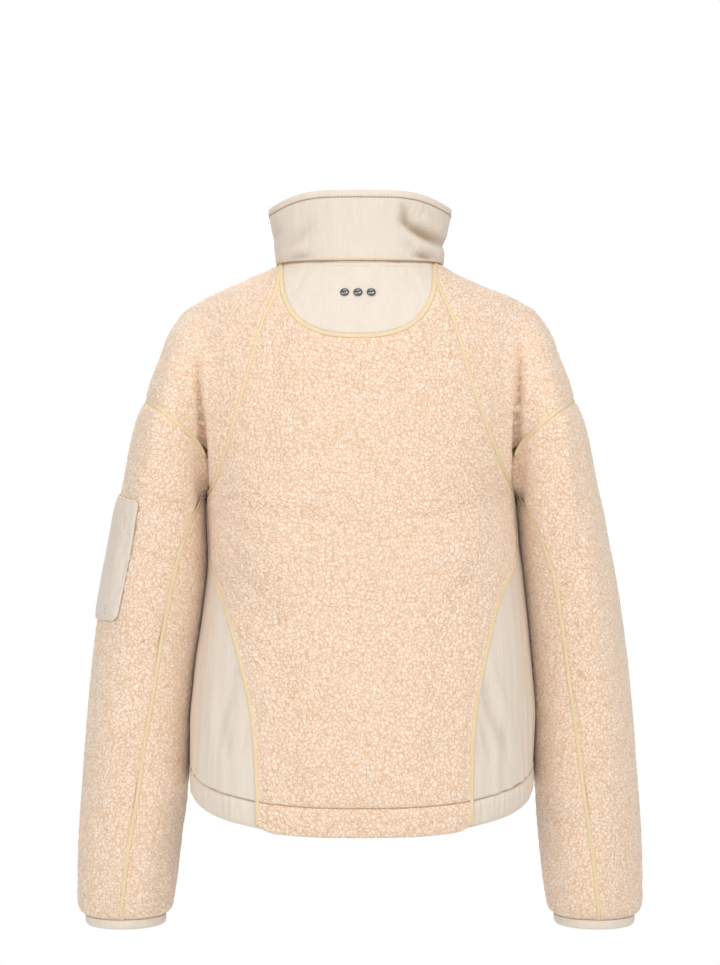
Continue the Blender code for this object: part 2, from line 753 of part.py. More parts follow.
def sleeve_skins(seams, side):
    """The outer and the under half of a sleeve, from the armhole to the cuff."""
    stations = sleeve_stations()
    top = seams["armhole"]
    fold_back, fold_front = top[0], top[-1]
    edges = []
    for face, fold in ((1, fold_back), (-1, fold_front)):
        heights = fold[2] + (SLEEVE_END - fold[2]) * stations
        turn = face * SLEEVE_SEAM.read("turn", heights)
        line = sleeve_point(side, turn, heights)
        line[1:] = pull(line[1:], 4)
        line[1:, 2] = heights[1:]
        line[0] = fold
        edges.append(line)
    back_edge, front_edge = edges

    def chart(points):
        return np.stack([sleeve_turn(side, points), points[..., 2]], axis=-1)

    end_turns = np.linspace(90, -90, len(top))
    end = sleeve_point(side, end_turns, np.full(len(top), SLEEVE_END))
    v = stations[:, None]
    top_chart, back_chart, front_chart = chart(top), chart(back_edge), chart(front_edge)
    u = np.linspace(0, 1, len(top))[None]
    height = (1 - v) * top_chart[None, :, 1] + v * SLEEVE_END
    low = (1 - u) * back_chart[:, :1] + u * front_chart[:, :1]
    spread = (back_chart[:, :1] - front_chart[:, :1]) / (back_chart[0, 0] - front_chart[0, 0])
    evened = (1 - v) * top_chart[None, :, 0] + v * (90 - 180 * u) * (back_chart[0, 0] / 90)
    turn = low + (evened - (1 - u) * back_chart[0, 0] - u * front_chart[0, 0]) * spread
    outer = pull(sleeve_point(side, turn, height), 5)
    outer[1:-1, :, 2] = height[1:-1]
    outer = keep_edges(outer, top, end, back_edge, front_edge)

    under_top = seams["under"]
    columns = np.linspace(0, 1, len(under_top))[None]
    back_turn = back_chart[:, :1]
    front_turn = front_chart[:, :1] + 360
    under_turn = (1 - columns) * back_turn + columns * front_turn
    under_height = (1 - v) * under_top[None, :, 2] + v * SLEEVE_END
    under = sleeve_point(side, under_turn, under_height)
    under_end = sleeve_point(side, under_turn[-1], np.full(len(under_top), SLEEVE_END))
    under = keep_edges(under, under_top, under_end, back_edge, front_edge)
    return outer, under


def cuff(name, side):
    """A narrow bound cuff that stands in the rolled end of the sleeve."""
    turns = np.linspace(0, 360, CUFF_SIDES, endpoint=False)
    ring = sleeve_point(side, turns, np.full(turns.shape, SLEEVE_END))
    centre = ring.mean(axis=0)
    way = ring - centre
    way /= np.linalg.norm(way, axis=1, keepdims=True)
    outer = np.stack([ring - way * inset for _, inset in CUFF_ROLL])
    inner = np.stack([ring - way * (inset + CUFF_WALL) for _, inset in CUFF_ROLL])
    for k, (share, _) in enumerate(CUFF_ROLL):
        outer[k, :, 2] = inner[k, :, 2] = CUFF_TOP - CUFF_HEIGHT * share
    shell(name, outer, inner, "woven", closed=True)


def collar_line(points, rise_share, raise_by=0.0):
    """The collar at a share of its rise above the neck points, with its outward flare."""
    angle = np.arctan2(points[:, 0], points[:, 1])
    ahead = np.clip(-np.cos(angle), 0, 1)
    behind = np.clip(np.cos(angle), 0, 1)
    crest = np.clip((behind - 0.3) / 0.65, 0, 1)
    rise = (COLLAR_SIDE_RISE + (COLLAR_BACK_RISE - COLLAR_SIDE_RISE) * crest ** 2 * (3 - 2 * crest)
            + (COLLAR_FRONT_RISE - COLLAR_SIDE_RISE) * ahead)
    level = points.copy()
    level[:, 2] = 0
    way = level / np.linalg.norm(level, axis=1, keepdims=True)
    side_flare = COLLAR_TOP_HALF_WIDTH - NECK_HALF_WIDTH
    flare = COLLAR_FLARE + (side_flare - COLLAR_FLARE) * np.sin(angle) ** 2
    moved = points + way * (flare * rise_share)[:, None]
    moved[:, 2] += rise * rise_share + raise_by
    return moved, way


def collar_and_binding(neck_ring):
    """The stand collar from zip to zip, and the binding that caps its top edge."""
    outer, inner = [], []
    for share in even_steps(COLLAR_ROWS):
        line, way = collar_line(neck_ring, share, COLLAR_STAND)
        inset = SEAM_GAP / 2 + COLLAR_BOW * math.sin(math.pi * share)
        outer.append(line - way * inset)
        inner.append(line - way * (inset + COLLAR_WALL))
    outer, inner = np.stack(outer), np.stack(inner)
    shell("collar", outer, inner, "woven")
    rim, way = collar_line(neck_ring, 1.0, COLLAR_STAND + SEAM_GAP)
    depth = BINDING_WALL - BINDING_PROUD
    out_face = np.stack([rim + way * (BINDING_PROUD + bulge) for _, bulge in BINDING_ROLL])
    in_face = np.stack([rim - way * (depth + bulge) for _, bulge in BINDING_ROLL])
    for k, (share, _) in enumerate(BINDING_ROLL):
        out_face[k, :, 2] += share * BINDING_HEIGHT
        in_face[k, :, 2] += share * BINDING_HEIGHT
    shell("collar_binding", out_face, in_face, "woven")
    return outer, out_face


def zip_half(name, edge, side):
    """Half the front zip: a narrow wall beside the middle line, from hem to collar top."""
    middle = edge.copy()
    middle[:, 0] = side * SEAM_GAP / 2
    outer_edge = edge.copy()
    outer_edge[:, 0] = side * (ZIP_HALF - SEAM_GAP)
    along = np.gradient(edge[:, 1:], axis=0)
    along /= np.linalg.norm(along, axis=1, keepdims=True)
    inward = np.stack([0 * along[:, 0], -along[:, 1], along[:, 0]], axis=-1)
    inward *= np.where(inward[:, 1:2] < 0, -1, 1)
    skin = np.stack([middle, outer_edge], axis=1)
    outer = skin + (inward * ZIP_SINK)[:, None]
    inner = skin + (inward * (ZIP_SINK + ZIP_WALL))[:, None]
    shell(name, outer, inner, "zip")
    return skin[:, 0] + inward * ZIP_SINK


def box(name, centre, size, finish, bevel=0.0, drop=0.0):
    """A block whose origin is at the centre given, with its middle this far below that."""
    half = np.array(size) / 2
    corners = np.array([[x, y, z] for x in (-1, 1) for y in (-1, 1) for z in (-1, 1)]) * half
    corners[:, 2] -= drop
    faces = [[0, 1, 3, 2], [4, 6, 7, 5], [0, 4, 5, 1], [2, 3, 7, 6], [0, 2, 6, 4], [1, 5, 7, 3]]
    made = add_mesh(name, corners, faces, finish, 30)
    made.location = np.array(centre) * MILLIMETRE
    if bevel:
        rounding = made.modifiers.new("rounding", "BEVEL")
        rounding.width = bevel * MILLIMETRE
        rounding.segments = 2
    return made


def combine(target, other, operation):
    step = target.modifiers.new(operation.lower(), "BOOLEAN")
    step.operation = operation
    step.object = other
    other.hide_render = True
    other.display_type = "WIRE"


def zip_slider(centre):
    """The slider's body with an arch over a window, which the pull's bar turns in."""
    body = box("zip_slider", centre, (SLIDER["width"], SLIDER["thick"], SLIDER["height"]),
               "gunmetal", 0.8)
    front = centre[1] - SLIDER["thick"] / 2
    depth = SLIDER["reach"] + SLIDER["skin"]
    arch = box("slider_arch_shape", (centre[0], front - depth / 2 + 0.5, centre[2]),
               (SLIDER["arch"], depth + 1.0, SLIDER["window"] + 2 * SLIDER["foot"]), "gunmetal")
    window = box("slider_window_shape", (centre[0], front - SLIDER["reach"] / 2, centre[2]),
                 (SLIDER["width"], SLIDER["reach"], SLIDER["window"]), "gunmetal")
    combine(body, arch, "UNION")
    combine(body, window, "DIFFERENCE")
    return np.array([centre[0], front - SLIDER["reach"] / 2 - 0.02, centre[2]])


def zip_pull(axis_point):
    """The pull tab: a plate that hangs from a bar in the slider's window."""
    length, bar = PULL["length"], PULL["bar"]
    plate = box("zip_pull", axis_point, (PULL["width"], PULL["thick"], length), "gunmetal",
                0.35, (length - bar) / 2)
    hole_middle = axis_point - np.array([0, 0, (bar + PULL["hole"]) / 2])
    through = 3 * PULL["thick"]
    hole = box("pull_hole_shape", hole_middle, (PULL["hole_width"], through, PULL["hole"]),
               "gunmetal")
    combine(plate, hole, "DIFFERENCE")


def stud(name, x, z):
    """A dome stud on the yoke: a turned cap with a short rim, along the yoke's normal."""
    base = seen(x, z, 1)
    normal = outward(base[None])[0]
    across = np.cross(normal, (0.0, 0.0, 1.0))
    across /= np.linalg.norm(across)
    up = np.cross(across, normal)
    sides = STUD_SIDES
    turn = np.linspace(0, 2 * math.pi, sides, endpoint=False)
    circle = np.cos(turn)[:, None] * across + np.sin(turn)[:, None] * up
    origin = base - normal * (WOVEN_SINK - SEAM_GAP)
    points = [origin + circle * STUD_RADIUS * r + normal * h for r, h in STUD_TURNING]
    points = np.concatenate(points + [(origin + normal * STUD_DOME)[None], origin[None]])
    faces = []
    for ring in range(len(STUD_TURNING) - 1):
        for k in range(sides):
            n = (k + 1) % sides
            a, b = ring * sides, (ring + 1) * sides
            faces.append([a + k, b + k, b + n, a + n])
    top, bottom = len(points) - 2, len(points) - 1
    last = (len(STUD_TURNING) - 1) * sides
    for k in range(sides):
        n = (k + 1) % sides
        faces.append([last + k, top, last + n])
        faces.append([k, n, bottom])
    add_mesh(name, points, faces, "gunmetal", 40)


def sleeve_pocket():
    """The patch pocket on the left sleeve, from the sleeve's own points moved out."""
    down = np.linspace(0, 1, 9)[:, None]
    across = np.linspace(0, 1, 9)[None]
    height = POCKET_EDGE.read("height", down) + 0 * across
    back, front = POCKET_EDGE.read("back_turn", down), POCKET_EDGE.read("front_turn", down)
    turn = back + (front - back) * across
    skin = pull(sleeve_point(1, turn, height), 4)
    normal = outward(skin)
    inner = skin + normal * POCKET_LIFT
    outer = skin + normal * (POCKET_LIFT + WOVEN_WALL)
    shell("sleeve_pocket", outer, inner, "woven")


def build():
    for old in list(bpy.data.objects):
        bpy.data.objects.remove(old, do_unlink=True)
    names = {1: "left", -1: "right"}
    seams = {side: body_seams(side) for side in (1, -1)}
    left, right = seams[1], seams[-1]

    side_edges = ACROSS_YOKE_SIDE
    yoke_top = neck(np.linspace(YOKE_NECK_CORNER[1], -YOKE_NECK_CORNER[-1], ACROSS_YOKE + 1))
    yoke_low = yoke_edge(yoke_top[0], yoke_top[-1])
    cloth("back_yoke", facing_skin(1, yoke_top, yoke_low[side_edges:-side_edges],
                                   yoke_low[:side_edges + 1], yoke_low[:-side_edges - 2:-1]),
          "woven")

    long_edges = {
        side: np.concatenate([s["raglan_back"], s["side_back"][1:]]) for side, s in seams.items()
    }
    hem_back = hem_line(left["side_back"][-1], right["side_back"][-1],
                        ACROSS_YOKE + 2 * ACROSS_STRIP, 1)
    skin, cells = back_skin(yoke_low, long_edges, hem_back)
    cloth("back_panel", skin, "sherpa", cells)
    hem_band("hem_back", hem_back, "sherpa")

    zip_edges = {}
    for side, s in seams.items():
        tag = names[side]
        cloth(f"shoulder_{tag}", shoulder_skin(s, side), "sherpa")
        hem_side = hem_side_line(s["side_back"][-1], s["side_front"][-1], side)
        cloth(f"side_panel_{tag}",
              body_skin(s["under"], hem_side, s["side_back"], s["side_front"], side), "woven")
        hem_band(f"hem_side_{tag}", hem_side, "woven")

        rows = len(s["raglan_front"]) + len(s["side_front"]) - 1
        outer_edge = np.concatenate([s["raglan_front"], s["side_front"][1:]])
        neck_corner = s["neck_front"][-1]
        hem_middle = to_hem(np.array([[side * ZIP_HALF, -125.0, -476.0]]))[0]
        heights = np.linspace(neck_corner[2], hem_middle[2], rows)
        inner_edge = seen(np.full(rows, side * ZIP_HALF), heights, -1)
        inner_edge[0], inner_edge[-1] = neck_corner, hem_middle
        hem_front = hem_line(s["side_front"][-1], hem_middle, ACROSS_FRONT, -1)
        cloth(f"front_{tag}",
              body_skin(s["neck_front"], hem_front, outer_edge, inner_edge), "sherpa")
        band = hem_band(f"hem_front_{tag}", hem_front, "sherpa")

        outer, under = sleeve_skins(s, side)
        cloth(f"sleeve_outer_{tag}", outer, "sherpa")
        cloth(f"sleeve_under_{tag}", under, "sherpa")
        cuff(f"cuff_{tag}", side)
        zip_edges[side] = np.concatenate([inner_edge[:-1], band[:, -1]])[::-1]

    ring = np.concatenate([left["neck_front"][::-1], left["neck_side"][::-1][1:],
                           yoke_top, right["neck_side"], right["neck_front"][1:]])
    collar, binding = collar_and_binding(ring)
    for side, column in ((1, 0), (-1, -1)):
        edge = np.concatenate([zip_edges[side], collar[1:, column], binding[-1:, column]])
        face = zip_half(f"zip_{names[side]}", edge, side)
    top = face[-3]
    axis_point = zip_slider(np.array([0, top[1] - SLIDER["thick"] / 2 - SLIDER_STAND, top[2]]))
    zip_pull(axis_point)
    sleeve_pocket()
    for number, x in enumerate(STUD_SPREAD, start=1):
        stud(f"stud_{number}", x + YOKE_SHIFT, STUD_HEIGHT)


build()
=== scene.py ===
"""The looks of a cropped sherpa jacket that keeps its worn shape with nobody in it.

The shape is worked out in millimetres from the same tables as the solids and is
turned to metres when a mesh is made. +Z is up, the front faces -Y and the
wearer's left is +X. The origin is the middle of the neck's base.
"""
from __future__ import annotations

import logging
import math
from dataclasses import dataclass, field
from enum import Enum
from itertools import product

import bpy
import numpy as np
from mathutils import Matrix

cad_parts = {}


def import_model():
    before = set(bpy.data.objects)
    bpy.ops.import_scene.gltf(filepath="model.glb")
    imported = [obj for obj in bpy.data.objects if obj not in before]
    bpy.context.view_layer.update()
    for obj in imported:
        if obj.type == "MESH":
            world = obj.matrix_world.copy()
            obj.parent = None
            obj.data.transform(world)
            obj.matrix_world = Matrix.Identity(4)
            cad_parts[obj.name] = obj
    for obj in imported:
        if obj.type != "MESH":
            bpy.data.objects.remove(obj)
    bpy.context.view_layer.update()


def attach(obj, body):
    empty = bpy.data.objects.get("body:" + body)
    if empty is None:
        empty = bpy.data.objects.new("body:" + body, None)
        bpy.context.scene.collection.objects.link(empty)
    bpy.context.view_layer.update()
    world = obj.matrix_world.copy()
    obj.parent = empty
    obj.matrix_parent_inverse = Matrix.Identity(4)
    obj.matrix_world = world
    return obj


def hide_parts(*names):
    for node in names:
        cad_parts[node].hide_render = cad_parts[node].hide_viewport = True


LOG = logging.getLogger("jacket")
MILLIMETRE = 0.001
Array = np.ndarray


class Side(Enum):
    """The wearer's two sides, by the sign of X."""

    LEFT = 1
    RIGHT = -1

    @property
    def tag(self) -> str:
        """The side's word in the names of pieces."""
        return self.name.lower()


class Face(Enum):
    """The jacket's back and front, by the sign of Y."""

    BACK = 1
    FRONT = -1


# --- tables ----------------------------------------------------------------------

def smooth_curve(stations: Array, values: Array, at: Array) -> Array:
    """A cubic through the stations that never overshoots, level past its ends.

    Args:
        stations: where the values are known, rising.
        values: the value at each station.
        at: where to read the curve.

    Returns:
        The curve's values: Hermite cubics whose slope at a station is the
        harmonic mean of the slopes beside it, or nought at a turning point.
    """
    step = np.diff(stations)
    slope = np.diff(values) / step
    tangent = np.zeros(len(stations))
    tangent[0], tangent[-1] = slope[0], slope[-1]
    agree = slope[:-1] * slope[1:] > 0
    total = np.where(agree, slope[:-1] + slope[1:], 1.0)
    tangent[1:-1] = np.where(agree, 2 * slope[:-1] * slope[1:] / total, 0.0)
    at = np.clip(at, stations[0], stations[-1])
    i = np.clip(np.searchsorted(stations, at) - 1, 0, len(stations) - 2)
    t = (at - stations[i]) / step[i]
    start = (1 + 2 * t) * (1 - t) ** 2 * values[i] + t * (1 - t) ** 2 * step[i] * tangent[i]
    end = t * t * (3 - 2 * t) * values[i + 1] + t * t * (t - 1) * step[i] * tangent[i + 1]
    return start + end


class Table:
    """Rows with named columns, read smoothly along the first column."""

    FINE_STATIONS = 1500

    def __init__(self, columns: tuple[str, ...], *rows: tuple[float, ...]) -> None:
        """Works the curves out once, finely.

        Args:
            columns: the columns' names.
            rows: the rows, in either order of the first column.
        """
        data = np.array(rows, float)
        data = data[np.argsort(data[:, 0])]
        self.stations = np.linspace(data[0, 0], data[-1, 0], self.FINE_STATIONS)
        self.values = {
            name: smooth_curve(data[:, 0], data[:, i], self.stations)
            for i, name in enumerate(columns)
        }

    def read(self, column: str, at: Array) -> Array:
        """A column's value at each place."""
        return np.interp(at, self.stations, self.values[column])


TORSO = Table(
    ("height", "centre_x", "half_width", "half_depth", "centre_y", "squareness"),
    (30, 0, 62, 45, 12, 2.0),
    (0, 0, 84, 61, 14, 1.95),
    (-10, 2.5, 103, 67, 13, 1.85),
    (-22, 2, 131, 76, 11, 1.7),
    (-32, 0, 154.5, 83, 10, 1.65),
    (-52, 0, 174, 93, 7, 1.8),
    (-72, 0, 179, 101, 4, 2.0),
    (-92, 0, 179, 107, 1, 2.2),
    (-132, 0, 172, 114, -3, 2.6),
    (-172, 0, 162, 119, -5, 2.8),
    (-232, -1, 154, 122, -6, 2.8),
    (-270, -3, 154, 122, -5, 2.8),
    (-307, -5, 156.5, 121, -4, 2.7),
    (-355, -4.5, 161.5, 121, -2, 2.6),
    (-385, -3.5, 165, 122, -1, 2.6),
    (-425, -3, 168.5, 123, 0, 2.5),
    (-465, -2, 171, 125, 0, 2.5),
    (-506, -1.5, 172.5, 125.5, 0, 2.5),
    (-530, -1.5, 172, 125, 0, 2.5),
    (-570, 0, 168, 123, 0, 2.5),
)
ARM = Table(
    ("height", "outer", "inner", "half_depth", "centre_y", "squareness"),
    (-50, 172, 152, 18, 2, 2.0),
    (-62, 184, 148, 40, 2, 2.0),
    (-72, 191, 146, 52, 2, 2.0),
    (-92, 199.5, 145, 67, 1, 2.1),
    (-112, 208, 146, 76, 0, 2.3),
    (-132, 214, 148, 81, 0, 2.5),
    (-152, 222.5, 151, 84, 0, 2.6),
    (-172, 228, 152, 85, -1, 2.7),
    (-212, 236, 153.5, 85, -4, 2.8),
    (-232, 240.5, 155, 84, -6, 2.8),
    (-246, 244, 155.8, 83, -7, 2.8),
    (-270, 248.5, 156.2, 81, -9, 2.7),
    (-307, 256, 158.8, 79, -11, 2.6),
    (-355, 264, 164, 75, -13, 2.4),
    (-385, 268, 167.8, 72, -14, 2.3),
    (-425, 272, 172.2, 69, -15, 2.3),
    (-465, 275.5, 175.5, 66, -15, 2.2),
    (-500, 278, 175.5, 62, -15, 2.2),
    (-532, 280.5, 176.5, 59, -15, 2.2),
    (-572, 283, 179.5, 55, -15, 2.1),
    (-612, 284, 184, 51, -15, 2.1),
    (-632, 284, 187, 48, -15, 2.0),
    (-642, 282, 189.5, 45, -15, 2.0),
    (-648, 277.5, 193.5, 41, -15, 2.0),
)
BLEND = Table(
    ("height", "radius"),
    (0, 20), (-60, 24), (-110, 28), (-160, 20), (-205, 10), (-228, 3), (-245, 1), (-660, 1),
)
RAGLAN = Table(
    ("height", "left", "right", "front"),
    (0, 79, 74, 76),
    (-25, 82, 78, 80),
    (-45, 90, 86.5, 86),
    (-70, 98.5, 95, 95),
    (-102, 106.5, 103, 104),
    (-134, 116, 113, 114),
    (-165, 125, 125, 125),
    (-190, 133, 135, 134),
    (-214, 142.5, 147, 144),
    (-227, 152.4, 154.4, 153.4),
)
SIDE_SEAM = Table(
    ("height", "left", "right", "front"),
    (-227, 152.4, 154.4, 153.4),
    (-245, 151.6, 154.6, 153.2),
    (-265, 150.6, 155.8, 153.2),
    (-283, 149.8, 155.6, 153.0),
    (-297, 148.2, 151.5, 150),
    (-308, 144, 144.5, 144.5),
    (-320, 137, 138, 138),
    (-343, 128.5, 129.5, 129),
    (-367, 120.5, 124, 122),
    (-390, 113.5, 118, 116),
    (-416, 107.5, 113, 110),
    (-444, 102, 109, 105),
    (-473, 99.5, 106.5, 103),
    (-525, 97, 106, 102),
)
ARMHOLE = Table(
    ("inward", "x", "height"),
    (0.0, 214.5, -132),
    (0.22, 201, -139),
    (0.45, 184, -150),
    (0.64, 167, -165),
    (0.78, 156, -178),
    (0.87, 151.5, -192),
    (0.94, 151, -210),
    (1.0, 153.4, -227),
)
SLEEVE_SEAM = Table(
    ("height", "turn"),
    (-227, 172), (-236, 154), (-247, 140), (-262, 130), (-280, 123), (-304, 117.5), (-347, 114),
    (-402, 112), (-449, 109), (-495, 103), (-541, 98), (-588, 93), (-648, 90),
)
HEM_ROLL = Table(
    ("share", "outer", "inner"),
    (0, 1.4, 4.6), (0.3, 0, 6.4), (0.72, 0.3, 6.2), (0.9, 1.0, 5.6), (1, 2.4, 4.6),
)
CLOSING = Table(        # the share of their gap by which sleeve and side swell together
    ("height", "sleeve", "side"),
    (-226, 0, 0), (-242, 1, 1), (-430, 1, 1), (-470, 1.3, 0.5), (-500, 1.1, 0.1), (-525, 0.4, 0),
    (-565, 0, 0),
)
CUFF_ROLL = Table(("share", "inset"), (0, 1.4), (0.5, 1.6), (0.9, 2.4), (1, 3.6))
POCKET_EDGE = Table(
    ("share", "height", "back_turn", "front_turn"),
    (0, -228.5, 70, -10), (1, -350, 60.5, -14),
)
STUD_TURNING = Table(
    ("share", "radius", "height"),
    (0, 1.0, 0.0), (0.14, 1.0, 0.35), (0.3, 0.95, 0.95), (0.55, 0.78, 1.75), (0.8, 0.45, 2.4),
    (1.0, 0.02, 2.6),
)


# --- the form that every piece lies on --------------------------------------------

class Form:
    """The worn jacket's outer face: a body and two arms of level ovals, softly joined."""

    ARM_TOP = -50.0
    ARM_ROUND = 2.05
    TIP_PROBE = 190.0
    SIZES = ("half_width", "half_depth", "squareness")

    @staticmethod
    def oval(points: Array, centre: tuple[Array, Array], sizes: tuple[Array, ...]) -> Array:
        """How far points are from a level oval, along the line from its middle.

        Args:
            points: places in space.
            centre: the oval's middle in X and Y.
            sizes: half width, half depth and squareness n.

        Returns:
            r (1 - 1 / R), where R^n = |x / a|^n + |y / b|^n.
        """
        across, deep = points[..., 0] - centre[0], points[..., 1] - centre[1]
        half_width, half_depth, squareness = sizes
        reach = np.abs(across / half_width) ** squareness + np.abs(deep / half_depth) ** squareness
        reach = np.maximum(reach, 1e-9) ** (1 / squareness)
        return np.hypot(across, deep) * (1 - 1 / reach)

    def torso(self, points: Array) -> Array:
        """How far points are from the body."""
        z = points[..., 2]
        centre = TORSO.read("centre_x", z), TORSO.read("centre_y", z)
        return self.oval(points, centre, tuple(TORSO.read(name, z) for name in self.SIZES))

    @staticmethod
    def arm_span(z: Array, side: Array | int) -> tuple[Array, Array]:
        """The middle and half width of a sleeve; its inner edge follows the body's sway."""
        outer, inner = ARM.read("outer", z), ARM.read("inner", z) + side * TORSO.read("centre_x", z)
        return (outer + inner) / 2, (outer - inner) / 2

    def arm(self, points: Array) -> Array:
        """How far points are from the nearer arm, boxier on the side that faces the body."""
        z = points[..., 2]
        folded = np.stack([np.abs(points[..., 0]), points[..., 1], z], axis=-1)
        middle, half = self.arm_span(z, np.sign(points[..., 0]))
        inward = np.clip(0.5 - (folded[..., 0] - middle) / half, 0, 1)
        squareness = self.ARM_ROUND + (ARM.read("squareness", z) - self.ARM_ROUND) * inward
        sizes = half, ARM.read("half_depth", z), squareness
        level = self.oval(folded, (middle, ARM.read("centre_y", z)), sizes)
        return np.maximum(level, z - self.ARM_TOP)

    @staticmethod
    def slope_of(function: object, points: Array, step: float = 0.4) -> Array:
        """The gradient of a function of space, by central differences.

        Args:
            function: gives a number for each point.
            points: where to take the gradient.
            step: how far to each side the function is read.

        Returns:
            (f(p + h) - f(p - h)) / 2h along each axis.
        """
        parts = []
        for axis in range(3):
            shift = np.zeros(3)
            shift[axis] = step
            parts.append((function(points + shift) - function(points - shift)) / (2 * step))
        return np.stack(parts, axis=-1)

    def distance(self, function: object, points: Array) -> Array:
        """A level's value over its steepness: nearly the true distance."""
        slope = np.linalg.norm(self.slope_of(function, points), axis=-1)
        return function(points) / np.maximum(slope, 0.3)

    def value(self, points: Array) -> Array:
        """Nought on the jacket's outer face, rising outward.

        Args:
            points: places in space.

        Returns:
            min(a, b) - h^2 r / 4 of the distances to body and arm, where
            h = max(r - |a - b|, 0) / r and r is the blend's radius there.
        """
        radius = BLEND.read("radius", points[..., 2])
        body, sleeve = self.distance(self.torso, points), self.distance(self.arm, points)
        shared = np.maximum(radius - np.abs(body - sleeve), 0) / radius
        return np.minimum(body, sleeve) - shared ** 2 * radius / 4

    def pull(self, points: Array, rounds: int = 9) -> Array:
        """Moves points down the form's slope until they lie on it, by Newton's steps."""
        for _ in range(rounds):
            slope = self.slope_of(self.value, points)
            size = np.maximum(np.sum(slope ** 2, axis=-1), 0.25)
            move = np.clip(self.value(points) / size, -12, 12)
            points = points - move[..., None] * slope
        return points

    def outward(self, points: Array) -> Array:
        """The form's unit normal at each point."""
        slope = self.slope_of(self.value, points, 1.5)
        return slope / np.linalg.norm(slope, axis=-1, keepdims=True)

    def seen(self, x: Array, z: Array, face: Face) -> Array:
        """The first points of the form met from the back or the front.

        Args:
            x: where each line of sight runs across.
            z: its height.
            face: the side that it comes from.

        Returns:
            The points: the depth is halved down between the last sample
            outside the form and the first inside it.
        """
        x, z = np.broadcast_arrays(np.asarray(x, float), np.asarray(z, float))
        depths = np.linspace(self.TIP_PROBE, 0, 77)

        def place(depth: Array) -> Array:
            """The point at a depth on each line."""
            return np.stack([x + 0 * depth, face.value * depth, z + 0 * depth], axis=-1)

        inside = self.value(place(depths.reshape(-1, *[1] * x.ndim) + 0 * x)) < 0
        first = np.where(inside.any(axis=0), inside.argmax(axis=0), len(depths) - 1)
        far, near = depths[np.maximum(first - 1, 0)], depths[first]
        for _ in range(16):
            middle = (far + near) / 2
            within = self.value(place(middle)) < 0
            near, far = np.where(within, middle, near), np.where(within, far, middle)
        return place(near)

    @staticmethod
    def body_chart(points: Array, side: int) -> Array:
        """Each point's turn round the body and its height; a side of -1 turns the other way."""
        z = points[..., 2]
        across = side * (points[..., 0] - TORSO.read("centre_x", z))
        deep = points[..., 1] - TORSO.read("centre_y", z)
        return np.stack([np.arctan2(deep, across), z], axis=-1)

    @staticmethod
    def body_point(turn: Array, height: Array, side: int) -> Array:
        """The point of the plain body at a turn and height.

        Args:
            turn: the angle round the body's middle.
            height: the level.
            side: 1, or -1 to turn the other way.

        Returns:
            The middle plus the oval's reach (|c / a|^n + |s / b|^n)^(-1/n) along the turn.
        """
        half_width, half_depth, n = (TORSO.read(name, height) for name in Form.SIZES)
        c, s = np.cos(turn), np.sin(turn)
        reach = (np.abs(c / half_width) ** n + np.abs(s / half_depth) ** n) ** (-1 / n)
        x = TORSO.read("centre_x", height) + side * c * reach
        return np.stack([x, TORSO.read("centre_y", height) + s * reach, height], axis=-1)

    def sleeve_point(self, side: int, turn: Array, height: Array) -> Array:
        """A point of the plain arm.

        Args:
            side: 1 for the left arm, -1 for the right.
            turn: degrees round it: 0 outward, 90 back, 180 inward.
            height: the level.

        Returns:
            The middle plus the oval's reach along the turn, squarer inward.
        """
        turn, height = np.broadcast_arrays(np.asarray(turn, float), np.asarray(height, float))
        c, s = np.cos(np.radians(turn)), np.sin(np.radians(turn))
        middle, half = self.arm_span(height, side)
        inward = np.clip(-c, 0, 1)
        n = self.ARM_ROUND + (ARM.read("squareness", height) - self.ARM_ROUND) * inward
        reach = (np.abs(c) ** n + np.abs(s) ** n) ** (-1 / n)
        y = ARM.read("centre_y", height) + ARM.read("half_depth", height) * s * reach
        return np.stack([side * (middle + half * c * reach), y, height], axis=-1)

    def sleeve_turn(self, side: int, points: Array) -> Array:
        """The turn in degrees at which points lie round the arm."""
        z = points[..., 2]
        middle, half = self.arm_span(z, side)
        c = (points[..., 0] * side - middle) / half
        s = (points[..., 1] - ARM.read("centre_y", z)) / ARM.read("half_depth", z)
        return np.degrees(np.arctan2(s, c))


# --- lines and grids ----------------------------------------------------------------

def even(count: int) -> Array:
    """Shares from 0 to 1 in even steps."""
    return np.linspace(0, 1, count + 1)


def circle_angles(count: int) -> Array:
    """A number of even steps round a circle, in radians."""
    return np.linspace(0, 2 * math.pi, count, endpoint=False)


def along(line: Array) -> Array:
    """The length of a line up to each of its points."""
    return np.r_[0, np.cumsum(np.linalg.norm(np.diff(line, axis=0), axis=1))]


def resample(line: Array, shares: Array) -> Array:
    """Points at the given shares of a line's length."""
    length = along(line)
    at = np.asarray(shares) * length[-1]
    return np.stack([np.interp(at, length, line[:, k]) for k in range(line.shape[1])], axis=1)


def cubic_weights(stations: Array, at: Array) -> Array:
    """How much each known station counts at each new one, for a smooth curve.

    Args:
        stations: where points are known, rising.
        at: the new stations.

    Returns:
        A matrix: Hermite cubics whose tangents are the finite differences
        of the stations beside each.
    """
    count, step = len(stations), np.diff(stations)
    tangent = np.zeros((count, count))
    tangent[0, :2] = np.array([-1, 1]) / step[0]
    tangent[-1, -2:] = np.array([-1, 1]) / step[-1]
    for k in range(1, count - 1):
        before, after = step[k - 1], step[k]
        tangent[k, k - 1] = -after / before / (before + after)
        tangent[k, k + 1] = before / after / (before + after)
        tangent[k, k] = -tangent[k, k - 1] - tangent[k, k + 1]
    i = np.clip(np.searchsorted(stations, at, side="right") - 1, 0, count - 2)
    t, h = ((at - stations[i]) / step[i])[:, None], step[i][:, None]
    known = np.eye(count)
    start = (1 + 2 * t) * (1 - t) ** 2 * known[i] + t * (1 - t) ** 2 * h * tangent[i]
    return start + t * t * (3 - 2 * t) * known[i + 1] + t * t * (t - 1) * h * tangent[i + 1]


def unit(vectors: Array) -> Array:
    """The vectors' directions, each one long."""
    return vectors / np.linalg.norm(vectors, axis=-1, keepdims=True)


